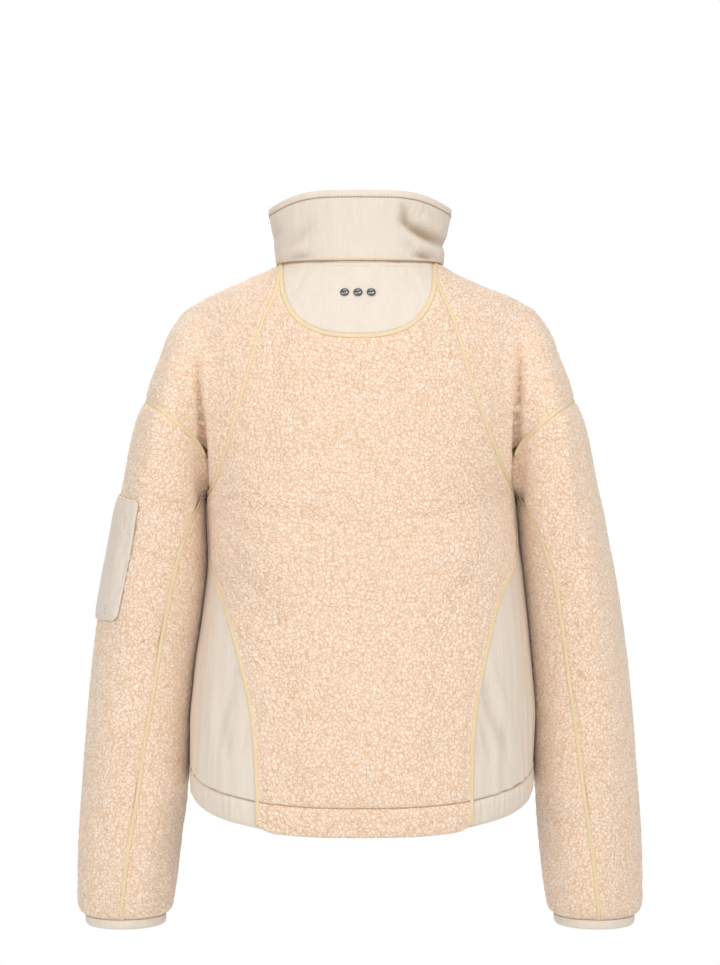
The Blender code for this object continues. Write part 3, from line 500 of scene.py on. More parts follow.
def read_along(at: Array, stations: Array, columns: Array) -> Array:
    """Each column's value at places between the stations where it is known."""
    return np.stack([np.interp(at, stations, column) for column in columns.T], 1)


def dip(distance: Array, depth: float, reach: float) -> Array:
    """A rounded hollow of some depth that fades out over its reach."""
    return depth * np.exp(-(distance / reach) ** 2)


def steps_for(grid: Array, spacing: float, axis: int) -> Array:
    """Into how many steps each interval of a grid is cut so that none is longer than spacing."""
    length = np.linalg.norm(np.diff(grid, axis=axis), axis=-1).max(axis=1 - axis)
    return np.maximum(np.ceil(length / spacing).astype(int), 1)


def finer(grid: Array, steps: Array, axis: int) -> Array:
    """A grid with each interval along one axis cut into steps, on smooth curves.

    Args:
        grid: points or other values on a grid.
        steps: the count for each interval.
        axis: 0 for the rows, 1 for the columns.

    Returns:
        The finer grid, which passes through the old points.
    """
    lengths = np.linalg.norm(np.diff(grid, axis=axis), axis=-1).mean(axis=1 - axis)
    stations = np.r_[0, np.cumsum(np.maximum(lengths, 1e-6))]
    parts = [np.linspace(stations[k], stations[k + 1], n, endpoint=False)
             for k, n in enumerate(steps)]
    weights = cubic_weights(stations, np.r_[np.concatenate(parts), stations[-1]])
    return np.moveaxis(np.tensordot(weights, grid, axes=(1, axis)), 0, axis)


def coons(top: Array, bottom: Array, left: Array, right: Array) -> Array:
    """A grid between four edges that meet at its corners.

    Args:
        top: the first row.
        bottom: the last row.
        left: the first column.
        right: the last column.

    Returns:
        Both ruled grids less the one between the corners.
    """
    v = np.linspace(0, 1, len(left))[:, None, None]
    u = np.linspace(0, 1, len(top))[None, :, None]
    ruled = (1 - v) * top[None] + v * bottom[None] + (1 - u) * left[:, None] + u * right[:, None]
    corners = ((1 - v) * ((1 - u) * top[0] + u * top[-1])
               + v * ((1 - u) * bottom[0] + u * bottom[-1]))
    return ruled - corners


def keep_edges(grid: Array, edges: tuple[Array, Array, Array, Array]) -> Array:
    """The grid with its top, bottom, left and right edges put back."""
    grid[0], grid[-1], grid[:, 0], grid[:, -1] = edges
    return grid


def gap_to(points: Array, line: Array, chunk: int = 20000) -> tuple[Array, Array]:
    """How far points are from a line, and where along it they are nearest.

    Args:
        points: places, in any array shape that ends with 3.
        line: the line's points, which stand closely.
        chunk: how many points are worked out at a time.

    Returns:
        The distance, and the share of the line's length.
    """
    flat = points.reshape(-1, 3)
    share = along(line)
    share = share / share[-1]
    far, where = np.empty(len(flat)), np.empty(len(flat))
    for start in range(0, len(flat), chunk):
        some = flat[start:start + chunk]
        square = (some ** 2).sum(1)[:, None] + (line ** 2).sum(1)[None] - 2 * some @ line.T
        best = square.argmin(axis=1)
        far[start:start + chunk] = np.sqrt(np.maximum(square[np.arange(len(some)), best], 0))
        where[start:start + chunk] = share[best]
    return far.reshape(points.shape[:-1]), where.reshape(points.shape[:-1])


def dense(line: Array, spacing: float = 1.5) -> Array:
    """The same line on a smooth curve through its points, with points at a close, even spacing."""
    if len(line) < 60:
        steps = np.maximum(np.ceil(np.diff(along(line)) / spacing).astype(int), 1)
        line = finer(line[:, None], steps, 0)[:, 0]
    return resample(line, even(max(int(along(line)[-1] / spacing), 2)))


def plan_gap(points: Array, line: Array) -> tuple[Array, Array]:
    """How far points are from a line as both are seen from the back, and where along it."""
    def flat(places: Array) -> Array:
        """The places with their depth taken out."""
        return places * np.array([1.0, 0.0, 1.0])

    return gap_to(flat(points), flat(line))


# --- noise -----------------------------------------------------------------------------

class Lattice:
    """Smooth noise in space: random slopes on a lattice, blended between its corners."""

    def __init__(self, seed: int) -> None:
        """Draws the slopes and the order in which the corners take them."""
        draw = np.random.default_rng(seed)
        self.order = draw.permutation(256)
        ways = draw.normal(size=(256, 3))
        self.ways = ways / np.linalg.norm(ways, axis=1, keepdims=True)

    def read(self, points: Array, size: float | Array) -> Array:
        """The noise at each point.

        Args:
            points: places in millimetres.
            size: the lattice's spacing, one number or one for each axis.

        Returns:
            About -0.7 to 0.7: the corners' slopes times the way from each
            corner, blended by 6t^5 - 15t^4 + 10t^3.
        """
        place = points / size
        cell = np.floor(place).astype(int)
        t = place - cell
        fade = t ** 3 * (t * (t * 6 - 15) + 10)
        total = np.zeros(points.shape[:-1])
        for corner in product((0, 1), repeat=3):
            at = cell + corner
            pick = self.order[at[..., 0] & 255]
            pick = self.order[(pick + at[..., 1]) & 255]
            pick = self.order[(pick + at[..., 2]) & 255]
            weight = np.prod(np.where(corner, fade, 1 - fade), axis=-1)
            total += weight * np.sum(self.ways[pick] * (t - corner), axis=-1)
        return total


# --- the cut: seams and the pieces between them ---------------------------------------

@dataclass
class Cut:
    """The jacket's pattern, laid on the form: every seam and the grid of each piece."""

    form: Form
    neck_half_width: float = 84.0
    neck_back: float = 75.0
    neck_front: float = 86.0
    neck_front_drop: float = 55.0
    back_corner: dict[int, float] = field(default_factory=lambda: {1: 69.0, -1: 63.0})
    yoke_corner: dict[int, float] = field(default_factory=lambda: {1: 64.0, -1: 58.0})
    front_corner: float = 118.0
    yoke_half_width: float = 74.0
    yoke_depth: float = 72.0
    yoke_squareness: float = 2.6
    yoke_shift: float = 2.0
    hem_height: float = -491.0
    hem_tilt: float = 0.185
    hem_bow: float = 0.00052
    underarm: tuple[float, float, float] = (154.5, -6.0, -232.0)
    sleeve_end: float = -648.0
    zip_half: float = 4.0
    side_rows: int = 12
    yoke_columns: int = 10
    yoke_side_rows: int = 4
    strip_columns: int = 3
    by_yoke: float = 0.2
    rows_below: int = 8
    shoulder_columns: int = 16
    under_columns: int = 6
    front_columns: int = 8
    sleeve_rows: int = 17
    fold_crowding: float = 0.25

    def neck(self, turn: Array) -> Array:
        """The neck's base at turns in degrees from the middle of the back, towards +X."""
        angle = np.radians(np.asarray(turn, float))
        ahead = np.cos(angle) < 0
        x = self.neck_half_width * np.sin(angle)
        y = np.where(ahead, self.neck_front, self.neck_back) * np.cos(angle)
        z = np.where(ahead, -self.neck_front_drop * np.cos(angle) ** 2, 0.0)
        return self.form.pull(np.stack([x, y, z], axis=-1))

    def level_of_hem(self, y: Array) -> Array:
        """The hem seam's height: level, less its tilt and its bow in Y."""
        return self.hem_height - self.hem_tilt * y - self.hem_bow * y * y

    def to_hem(self, points: Array) -> Array:
        """Puts points at the hem seam's height for their place, on the form."""
        for _ in range(4):
            points = points.copy()
            points[..., 2] = self.level_of_hem(points[..., 1])
            points = self.form.pull(points, 4)
        points[..., 2] = self.level_of_hem(points[..., 1])
        return points

    def raglan_shares(self) -> Array:
        """Shares of the raglan seam: close together beside the yoke, then even."""
        beside = np.linspace(0, self.by_yoke, self.yoke_side_rows, endpoint=False)
        return np.r_[beside, np.linspace(self.by_yoke, 1, self.rows_below + 1)]

    def seam(self, table: Table, column: str, side: int, face: Face, ends: tuple[Array, Array],
             shares: Array) -> Array:
        """A seam from a table of heights and half widths, between two known points.

        Args:
            table: RAGLAN or SIDE_SEAM.
            column: the column for this side.
            side: 1 or -1.
            face: the face that it is seen from.
            ends: its two end points.
            shares: where its points stand.

        Returns:
            The seam's points on the form.
        """
        start, end = ends
        heights = np.linspace(start[2], end[2], 60)[1:-1]
        x = side * table.read(column, heights)
        if column == "front":
            x = x + TORSO.read("centre_x", heights)
        middle = self.form.seen(x, heights, face)
        line = resample(np.concatenate([start[None], middle, end[None]]), shares)
        line[1:-1] = self.form.pull(line[1:-1], 3)
        return line

    def fold_point(self, side: int, face: Face) -> Array:
        """Where the armhole and the body's long seam meet, deep in the fold."""
        column, z = ("left" if side == 1 else "right"), self.underarm[2] + 5
        return self.form.seen(side * RAGLAN.read(column, z), z, face)

    def hem_corner(self, side: int, face: Face, column: str) -> Array:
        """Where the side seam meets the hem seam, by stepping down to it."""
        x, z = SIDE_SEAM.read(column, -505), -505.0
        for _ in range(6):
            point = self.form.seen(side * x, z, face)
            z = self.level_of_hem(point[1])
            x = SIDE_SEAM.read(column, z)
        return np.array([point[0], point[1], z])

    def armhole_half(self, side: int, face: Face, fold: Array) -> Array:
        """Half the drop-shoulder seam, from the tip of the shoulder to the fold."""
        inward = np.linspace(0, 1, 60)
        x, heights = ARMHOLE.read("x", inward), ARMHOLE.read("height", inward)
        line = self.form.seen(side * x, heights, face)
        tip = [side * ARMHOLE.read("x", 0.0), 0.0, ARMHOLE.read("height", 0.0)]
        line[0], line[-1] = self.form.pull(np.array(tip)), fold
        shares = even(self.shoulder_columns // 2)
        line = resample(line, shares + self.fold_crowding * shares * (1 - shares))
        line[1:-1] = self.form.pull(line[1:-1], 4)
        return line

    def under_arc(self, folds: tuple[Array, Array], side: int) -> Array:
        """The short seam under the arm, from the back fold to the front fold."""
        x, y, z = self.underarm
        bottom = self.form.pull(np.array([side * x + TORSO.read("centre_x", z), y, z]))
        line = resample(np.array([folds[0], bottom, folds[1]]), even(self.under_columns))
        line[1:-1] = self.form.pull(line[1:-1], 5)
        return line

    def body_seams(self, side: int) -> dict[str, Array]:
        """Every seam of one half of the body, as points on the form, by name."""
        column = "left" if side == 1 else "right"
        back_neck, front_neck = (self.neck(side * corner)
                                 for corner in (self.back_corner[side], self.front_corner))
        fold_back, fold_front = self.fold_point(side, Face.BACK), self.fold_point(side, Face.FRONT)
        hem_back = self.hem_corner(side, Face.BACK, column)
        hem_front = self.hem_corner(side, Face.FRONT, "front")
        back_half = self.armhole_half(side, Face.BACK, fold_back)
        front_half = self.armhole_half(side, Face.FRONT, fold_front)
        turns = np.linspace(self.back_corner[side], self.front_corner, self.shoulder_columns + 1)
        last = 180 - math.degrees(math.asin(self.zip_half / self.neck_half_width))
        front_turns = np.linspace(self.front_corner, last, self.front_columns + 1)
        raglan, rows = self.raglan_shares(), even(self.side_rows)
        return {
            "raglan_back": self.seam(RAGLAN, column, side, Face.BACK, (back_neck, fold_back),
                                     raglan),
            "raglan_front": self.seam(RAGLAN, "front", side, Face.FRONT, (front_neck, fold_front),
                                      raglan),
            "side_back": self.seam(SIDE_SEAM, column, side, Face.BACK, (fold_back, hem_back), rows),
            "side_front": self.seam(SIDE_SEAM, "front", side, Face.FRONT, (fold_front, hem_front),
                                    rows),
            "armhole": np.concatenate([back_half[::-1], front_half[1:]]),
            "under": self.under_arc((fold_back, fold_front), side),
            "neck_side": self.neck(side * turns),
            "neck_front": self.neck(side * front_turns),
        }

    def body_skin(self, edges: tuple[Array, Array, Array, Array], side: int = 1) -> Array:
        """A grid spread evenly by turn and height round the body, laid on the form."""
        chart = coons(*[self.form.body_chart(edge, side) for edge in edges])
        grid = self.form.pull(self.form.body_point(chart[..., 0], chart[..., 1], side), 8)
        return keep_edges(grid, edges)

    def yoke_skin(self) -> tuple[Array, Array]:
        """The half-round yoke's grid and its lower edge, from the left neck corner round."""
        corners = self.yoke_corner[1], -self.yoke_corner[-1]
        top = self.neck(np.linspace(*corners, self.yoke_columns + 1))
        angle = np.linspace(0, math.pi, 90)[1:-1]
        power = 2 / self.yoke_squareness
        wide = np.sign(np.cos(angle)) * np.abs(np.cos(angle)) ** power
        x = self.yoke_shift + self.yoke_half_width * wide
        z = -self.yoke_depth * np.sin(angle) ** power
        line = np.concatenate([top[:1], self.form.seen(x, z, Face.BACK), top[-1:]])
        n = self.yoke_side_rows
        low = resample(line, even(2 * n + self.yoke_columns))
        low[1:-1] = self.form.pull(low[1:-1], 3)
        edges = top, low[n:-n], low[:n + 1], low[:-n - 2:-1]
        flat = coons(*edges)
        skin = keep_edges(self.form.seen(flat[..., 0], flat[..., 2], Face.BACK), edges)
        return skin, low

    def back_skins(self, low: Array, seams: dict[int, dict[str, Array]]) -> tuple[Array, ...]:
        """The back's grids: a strip each side of the yoke, and the full width below it."""
        n, form = self.yoke_side_rows, self.form
        left, right = (np.concatenate([seams[s]["raglan_back"], seams[s]["side_back"][1:]])
                       for s in (1, -1))
        yoke_left, yoke_right = low[:n + 1], low[:-n - 2:-1]
        blend = even(self.strip_columns)[:, None]

        def strip(one: Array, other: Array) -> Array:
            """The grid between two edges that run down side by side."""
            ends = [form.pull(one[[k]] + blend * (other[k] - one[k])) for k in (0, -1)]
            return self.body_skin((ends[0], ends[1], one, other))

        strips = strip(left[:n + 1], yoke_left), strip(yoke_right, right[:n + 1])
        join = np.concatenate([strips[0][-1], low[n + 1:-n - 1], strips[1][-1]])
        count = self.yoke_columns + 2 * self.strip_columns
        hem = self.hem_line(left[-1], right[-1], count, Face.BACK)
        return (*strips, self.body_skin((join, hem, left[n:], right[n:])))

    def hem_line(self, start: Array, end: Array, count: int, face: Face) -> Array:
        """The hem seam between two of its points, seen from the back or front."""
        x = np.linspace(start[0], end[0], count + 1)
        line = self.form.seen(x, np.full_like(x, (start[2] + end[2]) / 2), face)
        line = self.to_hem(line)
        line[0], line[-1] = start, end
        return line

    def hem_side_line(self, back: Array, front: Array, side: int) -> Array:
        """The hem seam round the side of the body, from the back seam to the front."""
        turn = np.linspace(math.atan2(back[1], back[0] * side),
                           math.atan2(front[1], front[0] * side), self.under_columns * 2 + 1)
        line = np.stack([side * 160 * np.cos(turn), 120 * np.sin(turn), 0 * turn - 495], axis=-1)
        line = resample(self.to_hem(line), even(self.under_columns))
        line[0], line[-1] = back, front
        line[1:-1] = self.to_hem(line[1:-1])
        return line

    def shoulder_skin(self, seams: dict[str, Array], side: int) -> Array:
        """The shoulder's grid in two halves that share the ridge over the shoulder."""
        half, form = self.shoulder_columns // 2, self.form
        neck_side, armhole = seams["neck_side"], seams["armhole"]
        heights = np.linspace(0, ARMHOLE.read("height", 0.0), 40)
        arms = np.where(heights < form.ARM_TOP, ARM.read("outer", heights), 0)
        widths = np.maximum(TORSO.read("half_width", heights), arms)
        ridge = form.pull(np.stack([side * widths, 4 + 0 * heights, heights], axis=-1))
        ridge[0], ridge[-1] = neck_side[half], armhole[half]
        ridge = resample(ridge, self.raglan_shares())
        ridge[1:-1] = form.pull(ridge[1:-1])
        back = neck_side[:half + 1], armhole[:half + 1], seams["raglan_back"], ridge
        front = neck_side[half:], armhole[half:], ridge, seams["raglan_front"]
        halves = [keep_edges(form.pull(coons(*edges), 14), edges) for edges in (back, front)]
        return np.concatenate([halves[0], halves[1][:, 1:]], axis=1)

    def sleeve_skins(self, seams: dict[str, Array], side: int) -> tuple[Array, Array]:
        """The outer and the under half of a sleeve, from the armhole to the cuff.

        Args:
            seams: the seams of that half of the body.
            side: 1 or -1.

        Returns:
            Two grids: rows run down the sleeve, columns round it.
        """
        form, top, end = self.form, seams["armhole"], self.sleeve_end
        stations = np.r_[np.linspace(0, 0.93, self.sleeve_rows - 2), 0.965, 0.988, 1.0]
        edges = []
        for face, fold in ((1, top[0]), (-1, top[-1])):
            heights = fold[2] + (end - fold[2]) * stations
            line = form.sleeve_point(side, face * SLEEVE_SEAM.read("turn", heights), heights)
            line[1:] = form.pull(line[1:], 4)
            line[1:, 2] = heights[1:]
            line[0] = fold
            edges.append(line)
        back_edge, front_edge = edges
        turns = [form.sleeve_turn(side, line) for line in (top, back_edge, front_edge)]
        top_turn, back_turn, front_turn = turns[0], turns[1][:, None], turns[2][:, None]
        u, v = even(len(top) - 1)[None], stations[:, None]
        height = (1 - v) * top[None, :, 2] + v * end
        first, last = back_turn[0, 0], front_turn[0, 0]
        evened = (1 - v) * top_turn[None] + v * (90 - 180 * u) * (first / 90)
        spread = (back_turn - front_turn) / (first - last)
        turn = ((1 - u) * back_turn + u * front_turn
                + (evened - (1 - u) * first - u * last) * spread)
        outer = form.pull(form.sleeve_point(side, turn, height), 5)
        outer[1:-1, :, 2] = height[1:-1]
        rim = form.sleeve_point(side, np.linspace(90, -90, len(top)), end)
        outer = keep_edges(outer, (top, rim, back_edge, front_edge))
        arc = seams["under"]
        w = even(len(arc) - 1)[None]
        turn = (1 - w) * back_turn + w * (front_turn + 360)
        under = form.sleeve_point(side, turn, (1 - v) * arc[None, :, 2] + v * end)
        rim = form.sleeve_point(side, turn[-1], end)
        return outer, keep_edges(under, (arc, rim, back_edge, front_edge))

    def front_skin(self, seams: dict[str, Array], side: int) -> tuple[Array, Array]:
        """A front's grid and its hem seam, from the side to the zip."""
        outer = np.concatenate([seams["raglan_front"], seams["side_front"][1:]])
        corner = seams["neck_front"][-1]
        middle = self.to_hem(np.array([[side * self.zip_half, -125.0, -476.0]]))[0]
        heights = np.linspace(corner[2], middle[2], len(outer))
        inner = self.form.seen(np.full(len(outer), side * self.zip_half), heights, Face.FRONT)
        inner[0], inner[-1] = corner, middle
        hem = self.hem_line(outer[-1], middle, self.front_columns, Face.FRONT)
        return self.body_skin((seams["neck_front"], hem, outer, inner)), hem


# --- meshes ------------------------------------------------------------------------------

def make_object(name: str, points: Array, groups: list[tuple[Array, bool]],
                attributes: dict[str, Array] | None = None,
                uv: Array | None = None) -> bpy.types.Object:
    """A mesh object from points in millimetres.

    Args:
        name: the object's name.
        points: the vertices.
        groups: arrays of polygons, each with whether it is smooth.
        attributes: numbers for each vertex, by name.
        uv: two numbers for each vertex.

    Returns:
        The object, linked to the scene.
    """
    mesh = bpy.data.meshes.new(name)
    corners = np.concatenate([group.ravel() for group, _ in groups]).astype(np.int32)
    sizes = np.concatenate([np.full(len(group), group.shape[1]) for group, _ in groups])
    smooth = np.concatenate([np.full(len(group), flag) for group, flag in groups])
    mesh.vertices.add(len(points))
    mesh.vertices.foreach_set("co", (points * MILLIMETRE).astype(np.float32).ravel())
    mesh.loops.add(len(corners))
    mesh.loops.foreach_set("vertex_index", corners)
    mesh.polygons.add(len(sizes))
    mesh.polygons.foreach_set("loop_start", np.r_[0, np.cumsum(sizes)[:-1]].astype(np.int32))
    mesh.polygons.foreach_set("use_smooth", smooth)
    mesh.update(calc_edges=True)
    for key, values in (attributes or {}).items():
        mesh.attributes.new(key, "FLOAT", "POINT").data.foreach_set(
            "value", values.astype(np.float32))
    if uv is not None:
        layer = mesh.uv_layers.new(name="thread")
        layer.data.foreach_set("uv", uv[corners].astype(np.float32).ravel())
    made = bpy.data.objects.new(name, mesh)
    bpy.context.scene.collection.objects.link(made)
    return made


@dataclass
class Skin:
    """A grid of points on the form, with the cells that are cloth and the parts it is made of."""

    points: Array
    cells: Array
    parts: list[tuple[slice, slice]]

    @classmethod
    def whole(cls, points: Array) -> Skin:
        """A skin of one part with no hole."""
        shape = points.shape[0] - 1, points.shape[1] - 1
        return cls(points, np.ones(shape, bool), [(slice(None), slice(None))])

    def steps(self, spacing: float) -> tuple[Array, Array]:
        """The counts that cut every interval to the spacing, for rows and columns."""
        return steps_for(self.points, spacing, 0), steps_for(self.points, spacing, 1)

    def finer(self, steps: tuple[Array, Array], values: Array | None = None) -> Skin:
        """The skin with its intervals cut on smooth curves, each part by itself.

        Args:
            steps: the counts for the rows' and the columns' intervals.
            values: other numbers on the same grid, in place of the points.

        Returns:
            The finer skin.
        """
        source = self.points if values is None else values
        starts = [np.r_[0, np.cumsum(count)] for count in steps]
        points = np.zeros((starts[0][-1] + 1, starts[1][-1] + 1, source.shape[-1]))
        parts = []
        for rows, columns in self.parts:
            spans = []
            for part, start, size in zip((rows, columns), starts, source.shape):
                low, high, _ = part.indices(size)
                spans.append((low, high, slice(start[low], start[high - 1] + 1)))
            (r0, r1, row_span), (c0, c1, column_span) = spans
            piece = finer(source[r0:r1, c0:c1], steps[0][r0:r1 - 1], 0)
            piece = finer(piece, steps[1][c0:c1 - 1], 1)
            points[row_span, column_span] = piece
            parts.append((row_span, column_span))
        cells = np.repeat(np.repeat(self.cells, steps[0], axis=0), steps[1], axis=1)
        return Skin(points, cells, parts)

    def used(self) -> Array:
        """Which grid points are corners of cloth."""
        mask = np.zeros(self.points.shape[:2], bool)
        for dr, dc in product((0, 1), repeat=2):
            view = mask[dr:dr + self.cells.shape[0], dc:dc + self.cells.shape[1]]
            view |= self.cells
        return mask

    def flat_size(self) -> tuple[float, float, float]:
        """The cut's greatest width and length and its area, in metres, measured on the form."""
        span = np.diff(self.points, axis=1)
        drop = np.diff(self.points, axis=0)
        across = np.r_[self.cells, self.cells[-1:]]
        width = (np.linalg.norm(span, axis=-1) * across).sum(axis=1).max()
        kept = np.c_[self.cells, self.cells[:, -1:]]
        length = (np.linalg.norm(drop, axis=-1) * kept).sum(axis=0).max()
        area = np.linalg.norm(np.cross(span[:-1], drop[:, :-1]), axis=-1)[self.cells].sum()
        return width * MILLIMETRE, length * MILLIMETRE, area * MILLIMETRE ** 2


def wall_faces(fine: Skin, cells: Array, ratio: int) -> list[tuple[Array, bool]]:
    """The polygons of a wall: a fine outer side, a plain inner side and the rim between.

    Args:
        fine: the outer side.
        cells: the inner side's cells, each ratio times as wide.
        ratio: the fine intervals in a plain one.

    Returns:
        Groups of polygons; the inner side's points are numbered after the outer side's.
    """
    shape = fine.points.shape[:2]
    outer = np.arange(shape[0] * shape[1]).reshape(shape)
    rows, columns = cells.shape
    inner = outer.size + np.arange((rows + 1) * (columns + 1)).reshape(rows + 1, columns + 1)

    def quads(number: Array, chosen: Array) -> Array:
        """The chosen quads of a numbered grid."""
        every = np.stack([number[:-1, :-1], number[:-1, 1:], number[1:, 1:], number[1:, :-1]], -1)
        return every[chosen]

    blank = np.zeros_like(cells)
    above, below, before, after = (blank.copy() for _ in range(4))
    above[1:], below[:-1] = cells[:-1], cells[1:]
    before[:, 1:], after[:, :-1] = cells[:, :-1], cells[:, 1:]
    step, rims = np.arange(ratio + 1)[None], []
    for beside, down, across, upright in ((above, 0, 0, False), (below, 1, 0, False),
                                          (before, 0, 0, True), (after, 0, 1, True)):
        i, j = np.nonzero(cells & ~beside)
        i, j = i[:, None] + down, j[:, None] + across
        run_i, run_j = (step, 0 * step) if upright else (0 * step, step)
        edge = outer[i * ratio + run_i, j * ratio + run_j]
        last_i, last_j = (i + 1, j) if upright else (i, j + 1)
        back = np.concatenate([inner[last_i, last_j], inner[i, j]], axis=1)
        rim = np.concatenate([edge, back], axis=1)
        rims.append(rim[:, ::-1] if (down, across, upright) in ((0, 0, False), (0, 1, True))
                    else rim)
    return [(quads(outer, fine.cells), True), (quads(inner, cells)[:, ::-1], True),
            (np.concatenate(rims), False)]


def shell(name: str, outer: Array, inner: Array, ring: bool = False,
          numbers: dict[str, Array] | None = None) -> bpy.types.Object:
    """A wall between two grids of the same shape, closed all round.

    Args:
        name: the object's name.
        outer: the outer side's points, rows by columns.
        inner: the inner side's points.
        ring: whether the last column runs into the first.
        numbers: a number for each point of the outer side, by attribute name.

    Returns:
        The object: both sides are smooth and the rims are flat.
    """
    rows, columns = outer.shape[:2]
    near = np.arange(rows * columns).reshape(rows, columns)
    if ring:
        near = np.concatenate([near, near[:, :1]], axis=1)
    far = near + rows * columns

    def quads(*corners: Array) -> Array:
        """Quads from four arrays of corners."""
        return np.stack(corners, axis=-1).reshape(-1, 4)

    sides = [quads(near[:-1, :-1], near[:-1, 1:], near[1:, 1:], near[1:, :-1]),
             quads(far[:-1, :-1], far[1:, :-1], far[1:, 1:], far[:-1, 1:])]
    rims = [quads(near[0, :-1], far[0, :-1], far[0, 1:], near[0, 1:]),
            quads(near[-1, :-1], near[-1, 1:], far[-1, 1:], far[-1, :-1])]
    if not ring:
        rims += [quads(near[:-1, 0], near[1:, 0], far[1:, 0], far[:-1, 0]),
                 quads(near[:-1, -1], far[:-1, -1], far[1:, -1], near[1:, -1])]
    points = np.concatenate([outer.reshape(-1, 3), inner.reshape(-1, 3)])
    doubled = {key: np.tile(values.ravel(), 2) for key, values in (numbers or {}).items()}
    made = make_object(name, points, [(np.concatenate(sides), True), (np.concatenate(rims), False)],
                       doubled)
    make_outward(made)
    return made


def drop_unused(
    points: Array, groups: list[tuple[Array, bool]], numbers: dict[str, Array],
) -> tuple[Array, list[tuple[Array, bool]], dict[str, Array]]:
    """Leaves out the points that no polygon uses, and numbers the rest again."""
    used = np.zeros(len(points), bool)
    for group, _ in groups:
        used[group.ravel()] = True
    order = np.cumsum(used) - 1
    kept = [(order[group], flag) for group, flag in groups]
    return points[used], kept, {key: values[used] for key, values in numbers.items()}


def sweep(name: str, rings: Array, closed: bool = False,
          uv: Array | None = None) -> bpy.types.Object:
    """A closed profile carried along a path.

    Args:
        name: the object's name.
        rings: the profile's points at each place along the path.
        closed: whether the path runs into its own start; if not, both ends are capped.
        uv: two numbers for each ring point.

    Returns:
        The object, with its faces turned outward.
    """
    count, sides = rings.shape[:2]
    number = np.arange(count * sides).reshape(count, sides)
    loop = np.concatenate([number, number[:, :1]], axis=1)
    if closed:
        loop = np.concatenate([loop, loop[:1]])
    quads = np.stack([loop[:-1, :-1], loop[:-1, 1:], loop[1:, 1:], loop[1:, :-1]], -1)
    quads = quads.reshape(-1, 4)
    points = rings.reshape(-1, 3)
    corner = points[quads]
    facing = np.cross(corner[:, 2] - corner[:, 0], corner[:, 3] - corner[:, 1])
    centre = np.repeat(rings.mean(axis=1), sides, axis=0)
    way = corner.mean(axis=1) - centre[quads].mean(axis=1)
    turned = np.sum(facing * way) < 0
    if turned:
        quads = quads[:, ::-1]
    groups = [(quads, True)]
    if not closed:
        ends = np.stack([number[0, ::-1], number[-1]])
        groups.append((ends if not turned else ends[:, ::-1], False))
    made = make_object(name, points, groups, uv=None if uv is None else uv.reshape(-1, 2))
    make_outward(made)
    return made


def make_outward(made: bpy.types.Object) -> None:
    """Turns a closed mesh's faces outward if its volume is negative."""
    mesh = made.data
    mesh.calc_loop_triangles()
    points = np.empty(len(mesh.vertices) * 3)
    mesh.vertices.foreach_get("co", points)
    triangles = np.empty(len(mesh.loop_triangles) * 3, int)
    mesh.loop_triangles.foreach_get("vertices", triangles)
    a, b, c = points.reshape(-1, 3)[triangles.reshape(-1, 3)].transpose(1, 0, 2)
    if float(np.sum(a * np.cross(b, c))) < 0:
        mesh.flip_normals()


def repeated(name: str, shape: Array, quads: Array, origins: Array,
             frames: Array) -> bpy.types.Object:
    """Many copies of one small closed shape as one mesh.

    Args:
        name: the object's name.
        shape: the shape's points in its own axes, in millimetres.
        quads: its faces.
        origins: where each copy's middle stands.
        frames: each copy's three axes, as rows.

    Returns:
        The object.
    """
    placed = origins[:, None] + np.einsum("pk,nkd->npd", shape, frames)
    faces = quads[None] + (np.arange(len(origins)) * len(shape))[:, None, None]
    made = make_object(name, placed.reshape(-1, 3), [(faces.reshape(-1, quads.shape[1]), True)])
    make_outward(made)
    return made


# --- finishes ----------------------------------------------------------------------------

def linear(code: str) -> tuple[float, float, float, float]:
    """A colour's linear values from its sRGB hex code."""
    parts = [int(code[k:k + 2], 16) / 255 for k in (1, 3, 5)]
    lit = [p / 12.92 if p <= 0.04045 else ((p + 0.055) / 1.055) ** 2.4 for p in parts]
    return lit[0], lit[1], lit[2], 1.0


def add_node(tree: bpy.types.NodeTree, kind: str, inputs: dict[str | int, object] | None = None,
             **settings: object) -> bpy.types.Node:
    """Adds a shader node with its settings and links.

    Args:
        tree: the material's nodes.
        kind: the node's type.
        inputs: a value or another node's output for each input.
        settings: the node's own properties.

    Returns:
        The node.
    """
    made = tree.nodes.new(kind)
    for name, value in settings.items():
        setattr(made, name, value)
    for name, value in (inputs or {}).items():
        if isinstance(value, bpy.types.NodeSocket):
            tree.links.new(value, made.inputs[name])
        else:
            made.inputs[name].default_value = value
    return made


def per_metre(millimetres: float) -> float:
    """A texture's scale for a pattern of that size."""
    return 1 / (millimetres * MILLIMETRE)


def noise_node(tree: bpy.types.NodeTree, place: bpy.types.NodeSocket, size: float,
               detail: float, **more: float) -> bpy.types.Node:
    """Noise whose features are of a size in millimetres."""
    return add_node(tree, "ShaderNodeTexNoise", {"Vector": place, "Scale": per_metre(size),
                                                 "Detail": detail, **more})


def worked_out(tree: bpy.types.NodeTree, operation: str, *values: object,
               clamp: bool = False) -> bpy.types.NodeSocket:
    """The outcome of a sum on two or three values."""
    return add_node(tree, "ShaderNodeMath", dict(enumerate(values)), operation=operation,
                    use_clamp=clamp).outputs[0]


def mixed(tree: bpy.types.NodeTree, share: bpy.types.NodeSocket, none: object,
          full: object) -> bpy.types.NodeSocket:
    """A colour between two, by a share."""
    return add_node(tree, "ShaderNodeMix", {0: share, 6: none, 7: full},
                    data_type="RGBA").outputs[2]


def bumped(tree: bpy.types.NodeTree, height: bpy.types.NodeSocket, strength: float,
           distance: float, over: bpy.types.NodeSocket | None = None) -> bpy.types.NodeSocket:
    """A bumped normal, on top of another one if that is given."""
    inputs = {"Height": height, "Strength": strength, "Distance": distance}
    if over is not None:
        inputs["Normal"] = over
    return add_node(tree, "ShaderNodeBump", inputs).outputs["Normal"]


